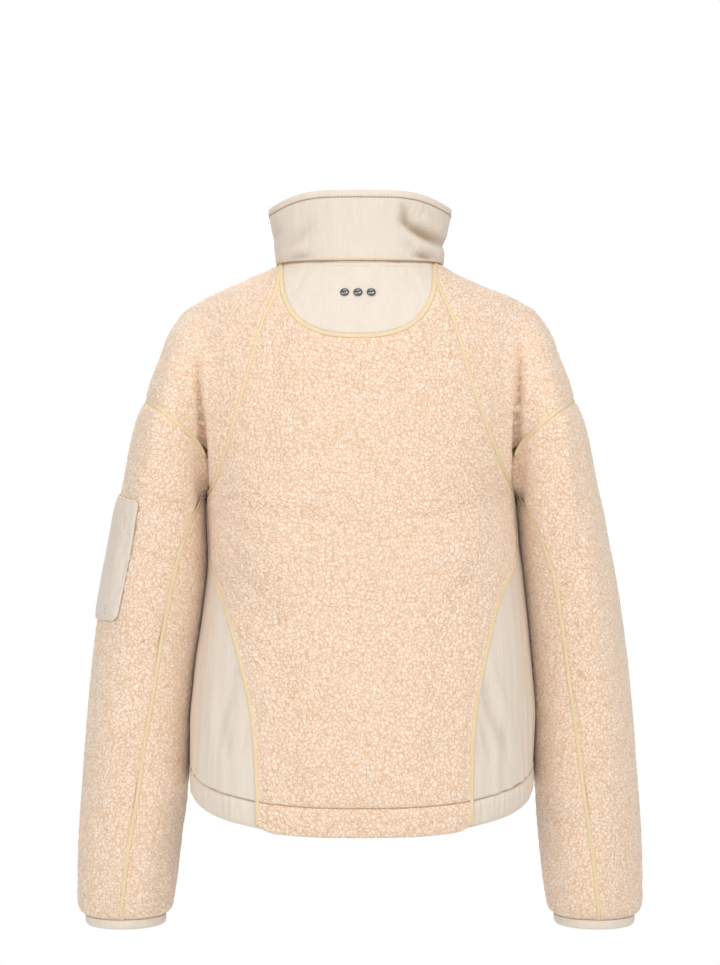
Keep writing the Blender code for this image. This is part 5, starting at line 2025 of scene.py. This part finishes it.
@dataclass
class Hem:
    """Five hem channels, a sunk thread tan as painted seam shade, and the bands' last stretch."""

    body: Body
    stitch: Coverstitch = field(default_factory=Coverstitch)
    thread: Topstitch = field(default_factory=Topstitch)
    seam_radius: float = 0.5
    seam_sink: dict[Cloth, float] = field(
        default_factory=lambda: {Cloth.SHERPA: 2.0, Cloth.WOVEN: 2.55})

    def build(self) -> dict[str, Array]:
        """Makes the channels and what is sewn on them, and gives their grids by node."""
        form, pile = self.body.cut.form, self.body.pile
        grids = {}
        for node, line in self.body.hems.items():
            cloth = Cloth.WOVEN if "side" in node else Cloth.SHERPA
            carrier = node.replace("hem_", "").replace("side_", "side_panel_")
            carrier = "back_panel" if carrier == "back" else carrier
            grid = HemBand(node, cloth, line, carrier).build(form, pile)
            grids[node] = grid
            # painted seam shade: a thread cord sunk in the hem seam, darker tan than the cloth
            sunk = form.outward(grid[0]) * self.seam_sink[cloth]
            self.thread.cord(f"stitch_{node}", grid[0] - sunk, self.seam_radius, TACK_THREAD_AND_SEAM_SHADE)
            self.bands(node, grid)
        return grids

    def bands(self, node: str, grid: Array) -> None:
        """Carries the side seams' yellow bands on over the sherpa channels.

        Args:
            node: the channel.
            grid: its points on the form.
        """
        if "side" in node:
            return
        form, beside = self.body.cut.form, self.body.side_band_beside
        ends = {"left": 0, "right": -1} if node == "hem_back" else {node.split("_")[-1]: 0}
        for tag, column in ends.items():
            side = 1 if tag == "left" else -1
            key = "back" if node == "hem_back" else "front"
            turn = side if key == "back" else -side
            seam = self.body.seams[side][f"side_{key}"]
            line = np.concatenate([seam, grid[3::3, column]])
            self.stitch.build(f"stitch_side_{key}_{tag}", line, form, turn * beside,
                              end_depth=1.7)


@dataclass
class Collar:
    """The stand collar from zip to zip, its bound top edge and the stitches under it."""

    cut: Cut
    back_rise: float = 60.0
    side_rise: float = 48.5
    front_rise: float = 57.0
    flare: float = 5.0
    side_flare: float = 7.0
    stand: float = 0.5
    bow: float = 1.2
    wall: float = 2.6
    seam_gap: float = 0.4
    rows: int = 30
    columns: int = 300
    binding_height: float = 7.0
    binding_wall: float = 4.0
    binding_sides: int = 16
    strip_width: float = 12.0       # what shows of the binding's strip, laid flat
    stitch_below: float = 0.9       # the stitches' line, below the binding
    usual_rise: float = 55.0        # the rise that small distances are scaled by
    seam_dip: tuple[float, float] = (0.8, 1.6)      # depth and reach, at the neck seam
    line_dip: tuple[float, float] = (0.3, 0.9)      # and at the stitches' line
    held_ends: tuple[float, float] = (14.0, 22.0)   # how fast creases start, and end, upward
    behind: float = 0.6             # the share of a crease that the inner side has
    edge_round: float = 0.35        # how far the binding stands out past its strip
    edge_powers: tuple[float, float] = (0.7, 0.6)   # the binding's squareness, across and up
    thread: Topstitch = field(default_factory=Topstitch)

    def ring(self) -> Array:
        """The neck's base from the left side of the zip round the back to the right."""
        last = 180 - math.degrees(math.asin(self.cut.zip_half / self.cut.neck_half_width))
        return self.cut.neck(np.linspace(last, -last, self.columns))

    def place(self, share: Array, lifted: float) -> tuple[Array, Array]:
        """The collar's grid at shares of its rise, and the level way out at each column.

        Args:
            share: the rows' shares of the rise.
            lifted: how far the whole grid is raised.

        Returns:
            Rows by columns of points, and a way for each column. The rise is
            s + (b - s) c^2 (3 - 2c) + (f - s) a for the crest c behind and the
            share a ahead; the flare grows from back to side by sin^2.
        """
        base = self.ring()
        angle = np.arctan2(base[:, 0], base[:, 1])
        ahead, behind = np.clip(-np.cos(angle), 0, 1), np.clip(np.cos(angle), 0, 1)
        crest = np.clip((behind - 0.3) / 0.65, 0, 1)
        rise = (self.side_rise + (self.back_rise - self.side_rise) * crest ** 2 * (3 - 2 * crest)
                + (self.front_rise - self.side_rise) * ahead)
        way = base * np.array([1.0, 1.0, 0.0])
        way = unit(way)
        flare = self.flare + (self.side_flare - self.flare) * np.sin(angle) ** 2
        grid = base[None] + way[None] * (flare[None] * share[:, None])[..., None]
        grid[..., 2] += rise[None] * share[:, None] + lifted
        return grid, way

    def front_edge(self, side: Side) -> Array:
        """The collar's end beside the zip, from the neck up over the binding."""
        column = 0 if side is Side.LEFT else -1
        share = even(8)[1:]
        grid, way = self.place(share, self.stand)
        inset = self.seam_gap / 2 + self.bow * np.sin(math.pi * share)
        rim = self.place(np.array([1.0]), self.stand + self.seam_gap)[0][0, column]
        top = rim + way[column] * self.seam_gap + np.array([0, 0, self.binding_height])
        return np.concatenate([grid[:, column] - way[column] * inset[:, None], top[None]])

    def gathers(self, grid: Array, share: Array) -> Array:
        """How proud the collar's cloth stands: gathers under the binding that fade downward."""
        ribs = Ribs(0.38, 4.4, 60.0, 71).read(grid)
        slow = Ribs(0.7, 26.0, 40.0, 73).read(grid)
        top = share[:, None] ** 2.2
        uneven = 0.35 + 0.65 * np.clip(0.5 - grid[..., 0] / 90, 0, 1)
        return ribs * (0.25 + 1.6 * top * uneven) + slow * np.sin(math.pi * share)[:, None]

    def build(self) -> None:
        """Makes the collar, its binding and its stitches."""
        share = even(self.rows - 1)
        grid, way = self.place(share, self.stand)
        inset = self.seam_gap / 2 + self.bow * np.sin(math.pi * share)
        folds = sum((crease.read(grid) for crease in COLLAR_CREASES), np.zeros(grid.shape[:2]))
        start, end = self.held_ends
        held = np.clip(share * start, 0, 1)[:, None] * np.clip((1 - share) * end, 0, 1)[:, None]
        seam = dip(share * self.usual_rise, *self.seam_dip)[:, None]
        below = (1 - share) * self.usual_rise - self.stitch_below
        line = dip(below, *self.line_dip)[:, None]
        proud = self.gathers(grid, share) * held - folds * held - seam - line
        outer = grid + way[None] * (proud - inset[:, None])[..., None]
        depth = self.wall + self.behind * folds * held + inset[:, None]
        inner = grid - way[None] * depth[..., None]
        # painted shade: the deep creases darken the collar by this fold number
        fold = 0.9 * np.clip(folds * held / 6, 0, 1) ** 1.4
        made = shell("cloth_collar", outer, inner, numbers={"fold": fold})
        WOVEN.apply(made)
        length, height = along(grid[0])[-1], self.side_rise
        size = length * MILLIMETRE, self.back_rise * MILLIMETRE, length * height * MILLIMETRE ** 2
        declare(made, "collar", size)
        self.build_binding()
        self.sew(outer, way)

    def build_binding(self) -> None:
        """The bound edge: a rounded strip that is folded over the collar's top."""
        rim, way = self.place(np.array([1.0]), self.stand + self.seam_gap)
        rim = rim[0]
        turn = circle_angles(self.binding_sides)
        across, upward = (np.sign(part) * np.abs(part) ** power for part, power in
                          zip((np.cos(turn), np.sin(turn)), self.edge_powers))
        length = along(rim)
        tuck = 0.16 * Ribs(1.0, 3.2, 30.0, 79).read(rim)
        half, tall = self.binding_wall / 2 + self.edge_round, self.binding_height / 2
        out = across * half - self.binding_wall / 2 + self.edge_round
        rings = (rim[:, None] + way[:, None] * (out[None] + tuck[:, None])[..., None])
        rings[..., 2] += tall + tall * upward[None]
        made = sweep("cloth_collar_binding", rings)
        WOVEN.apply(made)
        wide = self.strip_width * MILLIMETRE
        size = length[-1] * MILLIMETRE, wide, length[-1] * wide * MILLIMETRE
        declare(made, "collar_binding", size)

    def sew(self, outer: Array, way: Array) -> None:
        """Stitches under the binding, a sunk cord in the neck seam: tan partly as painted shade."""
        row = self.rows - 1 - round(self.stitch_below / self.usual_rise * (self.rows - 1))
        path = outer[row] + way * 0.12
        # the stitches' tan is partly painted shade under the binding
        self.thread.row("stitch_collar_top", path, way, SHADED_THREAD)
        # painted shade: a tan cord sunk in the neck seam
        base = outer[0] - way * 1.5
        base[:, 2] -= 0.55
        self.thread.cord("stitch_neck_seam", base, 0.8, TACK_THREAD_AND_SEAM_SHADE)
        neck = self.cut.neck(np.linspace(61.0, -55.0, 150))
        neck[:, 2] -= 5.0
        neck = self.cut.form.pull(neck)
        normal = self.cut.form.outward(neck)
        self.thread.row("stitch_yoke_top", neck - normal * 2.35, normal, SEWING)


@dataclass
class Cuff:
    """A narrow bound cuff that stands in the rolled end of a sleeve."""

    cut: Cut
    side: Side
    top: float = -647.7
    height: float = 9.3
    wall: float = 2.6
    sides: int = 190
    rows: int = 9
    gather: Ribs = Ribs(0.3, 4.0, 30.0, 83)

    def build(self) -> None:
        """Makes the cuff: rings that are set in further towards the rounded end."""
        turns = np.linspace(0, 360, self.sides, endpoint=False)
        ring = self.cut.form.sleeve_point(self.side.value, turns,
                                          np.full(turns.shape, self.cut.sleeve_end))
        way = ring - ring.mean(axis=0)
        way = unit(way)
        share = even(self.rows - 1)
        inset = CUFF_ROLL.read("inset", share)
        outer = np.repeat(ring[None], self.rows, axis=0)
        outer[..., 2] = (self.top - self.height * share)[:, None]
        proud = self.gather.read(outer) * (0.4 + 0.6 * np.sin(math.pi * share))[:, None]
        inner = outer - way[None] * (inset + self.wall)[:, None, None]
        outer = outer + way[None] * (proud - inset[:, None])[..., None]
        made = shell(f"cloth_cuff_{self.side.tag}", outer, inner, ring=True)
        WOVEN.apply(made)
        round_it = along(np.concatenate([ring, ring[:1]]))[-1] * MILLIMETRE
        tall = (self.height + self.wall) * MILLIMETRE
        declare(made, f"cuff_{self.side.tag}", (round_it, tall, round_it * tall))


@dataclass
class FrontZip:
    """Both halves of the front zip: tapes with moulded teeth, and the slider with its pull."""

    edges: dict[int, Array]         # from the hem up to the top of the collar, for each side
    sink: float = 1.6
    wall: float = 2.2
    gap: float = 0.4
    half: float = 4.0
    tooth_pitch: float = 2.4
    tooth: tuple[float, float, float] = (2.7, 1.35, 1.9)

    def build(self) -> None:
        """Makes the tapes and the teeth and plates the metal."""
        for side in Side:
            edge = dense(self.edges[side.value], 1.2)
            ahead = np.gradient(edge[:, 1:], axis=0)
            ahead = unit(ahead)
            inward = np.stack([0 * ahead[:, 0], -ahead[:, 1], ahead[:, 0]], axis=-1)
            inward *= np.where(inward[:, 1:2] < 0, -1, 1)
            self.tape(side, edge, inward)
            self.teeth(side, edge, ahead, inward)
        for node in ("zip_slider", "zip_pull"):
            GUNMETAL.apply(bpy.data.objects[node])

    def tape(self, side: Side, edge: Array, inward: Array) -> None:
        """One woven tape, a thin wall behind the teeth."""
        across = np.linspace(1.3, self.half - 0.3, 5)
        skin = np.repeat(edge[:, None], len(across), axis=1)
        skin[..., 0] = side.value * across[None]
        outer = skin + inward[:, None] * (self.sink + 0.9)
        inner = skin + inward[:, None] * (self.sink + self.wall)
        made = shell(f"cloth_zip_{side.tag}", outer, inner)
        TAPE.apply(made)
        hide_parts(f"zip_{side.tag}")
        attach(made, "root")
        LOG.info("%s: %.0f mm of tape", made.name, along(edge)[-1])

    def teeth(self, side: Side, edge: Array, ahead: Array, inward: Array) -> None:
        """One side's teeth, half a pitch on from the other side's."""
        total = along(edge)
        start = self.tooth_pitch * (0.75 + 0.25 * side.value)
        at = np.arange(start, total[-1] - 1.0, self.tooth_pitch)
        middle, along_it, deep = (read_along(at, total, grid) for grid in (edge, ahead, inward))
        across = np.tile([1.0, 0.0, 0.0], (len(at), 1))
        frames = np.stack([across, np.c_[np.zeros(len(at)), along_it], deep], axis=1)
        middle[:, 0] = side.value * (self.gap / 4 + self.tooth[0] / 2)
        middle = middle + deep * (self.sink + self.tooth[2] / 2 - 0.2)
        corner = np.array(list(product((-1, 1), repeat=3)), float)
        inset = np.where(corner[:, 2:] < 0, 0.78, 1.0)      # the faces that show are narrower
        shape = corner * np.array(self.tooth) / 2 * np.c_[inset, inset, np.ones(8)]
        quads = np.array([[0, 1, 3, 2], [4, 6, 7, 5], [0, 4, 5, 1], [2, 3, 7, 6], [0, 2, 6, 4],
                          [1, 5, 7, 3]])
        made = repeated(f"zip_teeth_{side.tag}", shape, quads, middle, frames)
        TEETH.apply(made)
        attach(made, "root")
        LOG.info("%s: %d teeth", made.name, len(at))


@dataclass
class Studs:
    """Three small equal dome studs in a row on the yoke."""

    form: Form
    places: tuple[float, ...] = (-11.0, 2.0, 15.0)
    height: float = -31.0
    sink: float = 2.0
    radius: float = 4.4
    dome: float = 2.6
    sides: int = 36
    rings: int = 12

    def build(self) -> None:
        """Turns each dome round the yoke's normal from the same profile."""
        share = even(self.rings - 1)
        radius = STUD_TURNING.read("radius", share) * self.radius
        rise = STUD_TURNING.read("height", share)
        turn = circle_angles(self.sides)
        for number, x in enumerate(self.places, start=1):
            base = self.form.seen(x, self.height, Face.BACK)
            normal = self.form.outward(base[None])[0]
            across = np.cross(normal, (0.0, 0.0, 1.0))
            across /= np.linalg.norm(across)
            circle = (np.cos(turn)[:, None] * across
                      + np.sin(turn)[:, None] * np.cross(across, normal))
            origin = base - normal * self.sink
            rings = (origin + radius[:, None, None] * circle[None]
                     + rise[:, None, None] * normal)
            made = sweep(f"dome_stud_{number}", rings)
            GUNMETAL.apply(made)
            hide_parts(f"stud_{number}")
            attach(made, "root")
            LOG.info("%s: %d faces", made.name, len(made.data.polygons))


@dataclass
class SleevePocket:
    """The woven patch pocket on the left sleeve, with its stitched edge and bar tacks."""

    form: Form
    lift: float = 0.55
    wall: float = 1.6
    corner: float = 9.0
    rows: int = 76
    columns: int = 60
    margin: float = 2.4
    tilt: float = 8.0
    seam_dip: tuple[float, float] = (0.45, 0.8)     # depth and reach, at the stitches
    thread: Topstitch = field(default_factory=Topstitch)

    def place(self, down: Array, across: Array) -> Array:
        """Points of the sleeve under the pocket, at shares of its height and width."""
        down, across = np.broadcast_arrays(down, across)
        back, front = POCKET_EDGE.read("back_turn", down), POCKET_EDGE.read("front_turn", down)
        turn = back + (front - back) * across
        height = POCKET_EDGE.read("height", down) - self.tilt * (0.5 - across) * (1 - down)
        return self.form.pull(self.form.sleeve_point(1, turn, height), 4)

    def lifted(self, down: Array, across: Array, by: float) -> tuple[Array, Array]:
        """Points on the pocket's face and its normals there."""
        spot = self.place(np.asarray(down, float), np.asarray(across, float))
        normal = self.form.outward(spot)
        return spot + normal * by, normal

    def build(self) -> None:
        """Makes the patch: a grid whose ends draw in to the rounded corners."""
        tall = float(np.ptp(POCKET_EDGE.read("height", np.array([0.0, 1.0]))))
        wide = along(self.place(np.array(0.5), even(40)))[-1]
        angle = even(self.rows - 1) * math.pi
        down = (1 - np.cos(angle)) / 2 * 0.5 + even(self.rows - 1) * 0.5
        to_end = np.minimum(down, 1 - down) * tall
        left_out = self.corner - np.sqrt(np.maximum(
            self.corner ** 2 - np.maximum(self.corner - to_end, 0) ** 2, 0))
        half = (0.5 - left_out / wide)[:, None]
        across = 0.5 + half * (2 * even(self.columns - 1)[None] - 1)
        skin = self.place(down[:, None], across)
        normal = self.form.outward(skin)
        edge = np.minimum(np.minimum(across, 1 - across) * wide, to_end[:, None])
        folds = sum((crease.read(skin) for crease in POCKET_CREASES), np.zeros(across.shape))
        puff = 0.7 * np.clip(edge / 9, 0, 1) ** 0.7 + Ribs(0.22, 6.0, 30.0, 89).read(skin)
        seam = dip(edge - self.margin, *self.seam_dip)
        rounded = 0.7 * np.clip(1 - edge / 1.2, 0, 1) ** 2
        proud = puff * np.clip(edge / 2, 0, 1) - folds - seam - rounded
        outer = skin + normal * (self.lift + self.wall + proud)[..., None]
        inner = skin + normal * self.lift
        made = shell("cloth_sleeve_pocket", outer, inner)
        WOVEN.apply(made)
        size = wide * MILLIMETRE, tall * MILLIMETRE, 0.97 * wide * tall * MILLIMETRE ** 2
        declare(made, "sleeve_pocket", size)
        self.sew(tall, wide)

    def sew(self, tall: float, wide: float) -> None:
        """The stitched edge, two level rows and two bar tacks."""
        m, n = self.margin / wide, self.margin / tall
        corners = np.array([[n, m + 0.06], [n, 0.94 - m], [n + 0.05, 1 - m], [0.95 - n, 1 - m],
                            [1 - n, 0.94 - m], [1 - n, m + 0.06], [0.95 - n, m], [n + 0.05, m]])
        loop = np.concatenate([corners, corners[:1]])
        path = np.concatenate([np.linspace(a, b, 30, endpoint=False)
                               for a, b in zip(loop[:-1], loop[1:])])
        face = self.lift + self.wall
        self.thread.row("stitch_pocket_edge", *self.lifted(path[:, 0], path[:, 1], face - 0.1),
                        SEWING)
        for number, level in enumerate((0.27, 0.84), start=1):
            row = np.linspace(m, 1 - m, 60)
            self.thread.row(f"stitch_pocket_row_{number}",
                            *self.lifted(0 * row + level, row, face + 0.45), SEWING)
        for number, (top, bottom, at) in enumerate(((0.13, 0.25, 0.17), (0.86, 0.95, 0.24)), 1):
            tack = np.linspace(top, bottom, 24)
            spots = self.lifted(tack, 0 * tack + at, face + 0.5)
            Topstitch(2.2, 1.4, 0.5).row(f"bar_tack_{number}", *spots, TACK_THREAD_AND_SEAM_SHADE)


@dataclass
class Studio:
    """The camera at the photograph's angle, soft white lights and pale paper."""

    distance: float = 2.2
    height: float = -0.2145
    seen_height: float = 0.965      # metres that the frame is tall, at the object's middle
    sensor: float = 36.0
    floor: float = -1.45            # a standing wearer's neck is this far above it
    floor_half: float = 2.6
    around: float = 0.47            # the room's light, and below how bright its wall looks
    wall: float = 1.0

    def camera(self) -> None:
        """A level camera behind the jacket that looks along -Y."""
        data = bpy.data.cameras.new("camera")
        data.sensor_fit = "VERTICAL"
        data.sensor_height = self.sensor
        data.lens = self.sensor * self.distance / self.seen_height
        made = bpy.data.objects.new("camera", data)
        made.location = (0, self.distance, self.height)
        made.rotation_euler = (math.radians(90), 0, math.radians(180))
        bpy.context.scene.collection.objects.link(made)
        bpy.context.scene.camera = made

    def light(self, name: str, place: tuple[float, float, float], size: float,
              power: float) -> None:
        """A large, square white lamp that faces the jacket's middle.

        Args:
            name: the lamp's name.
            place: where it stands, in metres.
            size: its side in metres.
            power: its power in watts.
        """
        data = bpy.data.lights.new(name, "AREA")
        data.shape, data.size, data.energy = "SQUARE", size, power
        made = bpy.data.objects.new(name, data)
        made.location = place
        way = np.array([0, 0, -0.25]) - np.array(place)
        made.rotation_euler = (math.atan2(math.hypot(way[0], way[1]), -way[2]), 0,
                               math.atan2(way[1], way[0]) - math.radians(90))
        bpy.context.scene.collection.objects.link(made)

    def build(self) -> None:
        """Sets the camera, the lamps, the sky and the floor."""
        self.camera()
        bpy.context.scene.view_settings.view_transform = "Standard"
        self.light("key", (-1.7, 2.2, 1.2), 1.6, 31)
        self.light("fill", (2.0, 2.0, 0.3), 2.0, 24)
        self.light("front", (-0.1, 2.7, 0.95), 1.7, 18)
        self.light("top", (0.0, 0.5, 2.2), 1.8, 12)
        self.light("far", (0.6, -2.6, 1.4), 2.2, 46)
        world = bpy.data.worlds.new("studio")
        world.use_nodes = True
        tree, shader = world.node_tree, world.node_tree.nodes["Background"]
        shader.inputs["Color"].default_value = linear("#ffffff")
        shader.inputs["Strength"].default_value = self.around
        bright = add_node(tree, "ShaderNodeBackground", {"Color": linear("#ffffff"),
                                                         "Strength": self.wall})
        seen = add_node(tree, "ShaderNodeLightPath").outputs["Is Camera Ray"]
        mixed = add_node(tree, "ShaderNodeMixShader", {0: seen, 1: shader.outputs[0],
                                                       2: bright.outputs[0]})
        tree.links.new(mixed.outputs[0], tree.nodes["World Output"].inputs["Surface"])
        bpy.context.scene.world = world
        half = self.floor_half
        corners = np.array([[-half, -half, 0], [half, -half, 0], [half, half, 0], [-half, half, 0]])
        corners = (corners + [0, 0, self.floor]) / MILLIMETRE
        paper = make_object("floor", corners, [(np.array([[0, 1, 2, 3]]), False)])
        FLOOR.apply(paper)


YOKE_CREASES = [
    Crease(((-52, -12), (-60, -30)), 0.5, 3.0),
    Crease(((54, -8), (60, -26)), 0.5, 3.0),
    Crease(((-20, -48), (-18, -66)), 0.25, 2.5),
    Crease(((14, -46), (13, -66)), 0.25, 2.5),
]
COLLAR_CREASES = [
    Crease(((122, -28), (98, -14), (84, -7), (74, -1.5), (62, 3.5), (46, 5)), 8.0, 3.8),
    Crease(((84, 4), (66, 13), (46, 15)), -2.0, 4.0),
    Crease(((78, 6), (60, 26), (40, 42)), 1.8, 6.0),
    Crease(((90, 20), (80, 40)), 1.4, 4.0),
    Crease(((-122, -26), (-98, -13), (-86, -6), (-76, 0), (-66, 4.5), (-48, 6)), 8.0, 3.8),
    Crease(((-84, 6), (-68, 13), (-50, 15)), -2.2, 4.0),
    Crease(((-36, 44), (-52, 34), (-70, 26), (-96, 19)), 6.5, 5.0),
    Crease(((-42, 58), (-45, 46), (-50, 34)), 3.6, 4.0),
    Crease(((-47, 54), (-48, 42)), 1.4, 1.8),
    Crease(((-53, 52), (-54, 40)), 1.3, 1.8),
    Crease(((-60, 50), (-60, 40)), 1.2, 1.8),
    Crease(((-40, 20), (-56, 12), (-80, 7)), 2.0, 4.5),
    Crease(((-56, 43), (-84, 32)), -1.6, 4.0),
    Crease(((-10, 30), (10, 12)), 0.5, 8.0),
    Crease(((74, 8), (52, 26)), 1.4, 6.0, Face.FRONT),
    Crease(((-70, 10), (-46, 24)), 1.2, 6.0, Face.FRONT),
]
BACK_CREASES = [
    Crease(((128, -200), (140, -250), (146, -290)), 1.6, 9.0),
    Crease(((-130, -196), (-142, -250), (-148, -290)), 1.6, 9.0),
    Crease(((112, -96), (84, -190), (60, -260)), 1.0, 13.0),
    Crease(((-96, -250), (-60, -330)), 0.9, 14.0),
    Crease(((30, -330), (52, -420)), 0.7, 14.0),
]
SHOULDER_CREASES = {
    Side.LEFT: [
        Crease(((159, -70), (156.5, -112), (154.5, -150), (153, -190), (153, -250)), 10.0, 2.9),
        Crease(((147, -84), (146, -130), (145, -180), (146, -226)), -1.3, 4.5),
        Crease(((157, -84), (154.5, -130), (153, -240)), 7.0, 3.0, Face.FRONT),
    ],
    Side.RIGHT: [
        Crease(((-157, -60), (-155, -100), (-153, -150), (-153, -190), (-154, -250)), 11.0, 3.1),
        Crease(((-146, -84), (-145, -130), (-145, -180), (-148, -226)), -1.3, 4.5),
        Crease(((-155, -84), (-153, -130), (-153, -240)), 7.0, 3.0, Face.FRONT),
    ],
}
SIDE_CREASES = {
    Side.LEFT: [
        Crease(((118, -400), (132, -440), (140, -478)), 1.9, 5.0),
        Crease(((138, -392), (146, -430), (149, -470)), -1.6, 5.0),
        Crease(((112, -388), (128, -404)), 1.4, 4.0),
        Crease(((108, -440), (116, -486)), 1.3, 3.5),
        Crease(((126, -446), (131, -486)), 1.6, 3.5),
        Crease(((146, -420), (140, -470)), 1.6, 5.0, Face.FRONT),
    ],
    Side.RIGHT: [
        Crease(((-114, -396), (-128, -436), (-142, -476)), 3.0, 5.0),
        Crease(((-122, -380), (-138, -424), (-148, -462)), -2.6, 5.0),
        Crease(((-112, -430), (-124, -470), (-128, -490)), 2.4, 4.0),
        Crease(((-111, -448), (-116, -492)), 1.6, 3.5),
        Crease(((-140, -440), (-144, -486)), 2.1, 4.0),
        Crease(((-146, -420), (-140, -470)), 1.6, 5.0, Face.FRONT),
    ],
}
FRONT_CREASES = {
    side: [
        Crease(((sign * 118, -180), (sign * 96, -250), (sign * 90, -320)), 1.4, 12.0, Face.FRONT),
        Crease(((sign * 60, -330), (sign * 76, -420)), 1.0, 14.0, Face.FRONT),
    ]
    for side, sign in ((Side.LEFT, 1), (Side.RIGHT, -1))
}
SLEEVE_CREASES = {
    Side.LEFT: [
        Crease(((160, -196), (156, -230), (154, -262)), 2.4, 4.5),
        Crease(((190, -190), (206, -260), (200, -330)), 1.0, 13.0),
        Crease(((176, -330), (196, -372), (228, -400)), 1.3, 11.0),
        Crease(((232, -470), (214, -540), (220, -600)), 1.2, 11.0),
        Crease(((236, -330), (250, -400)), 1.0, 9.0),
        Crease(((170, -300), (190, -350), (220, -370)), 1.3, 11.0, Face.FRONT),
        Crease(((240, -420), (220, -500)), 1.2, 11.0, Face.FRONT),
    ],
    Side.RIGHT: [
        Crease(((-158, -190), (-156, -230), (-155, -262)), 2.6, 4.5),
        Crease(((-206, -140), (-214, -220), (-210, -320)), 1.9, 6.5),
        Crease(((-200, -150), (-204, -220), (-200, -310)), -0.8, 6.5),
        Crease(((-252, -330), (-258, -380), (-254, -420)), 1.5, 7.0),
        Crease(((-176, -330), (-190, -400), (-216, -440)), 1.1, 11.0),
        Crease(((-236, -470), (-214, -560)), 1.1, 11.0),
        Crease(((-170, -300), (-190, -350), (-220, -370)), 1.3, 11.0, Face.FRONT),
        Crease(((-240, -420), (-220, -500)), 1.2, 11.0, Face.FRONT),
    ],
}
POCKET_CREASES = [
    Crease(((222, -258), (232, -290)), 1.4, 3.0),
    Crease(((221, -282), (236, -318)), 1.5, 3.2),
    Crease(((232, -276), (240, -300)), -1.1, 3.0),
    Crease(((226, -306), (242, -332)), 1.2, 3.0),
    Crease(((236, -246), (226, -272)), -0.8, 3.0),
]


def main() -> None:
    """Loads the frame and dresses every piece."""
    logging.basicConfig(level=logging.INFO, format="%(message)s")
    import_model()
    Studio().build()
    cut, pile = Cut(Form()), Pile()
    body = Body(cut, pile)
    body.build_back()
    for side in Side:
        body.build_half(side)
        Sleeve(cut, side, body.seams[side.value]).build(pile)
        Cuff(cut, side).build()
    bands = Hem(body).build()
    collar = Collar(cut)
    collar.build()
    edges = {side.value: np.concatenate([bands[f"hem_front_{side.tag}"][:0:-3, -1],
                                         body.zip_sides[side.value][::-1],
                                         collar.front_edge(side)]) for side in Side}
    FrontZip(edges).build()
    SleevePocket(cut.form).build()
    Studs(cut.form).build()


if __name__ == "__main__":
    main()
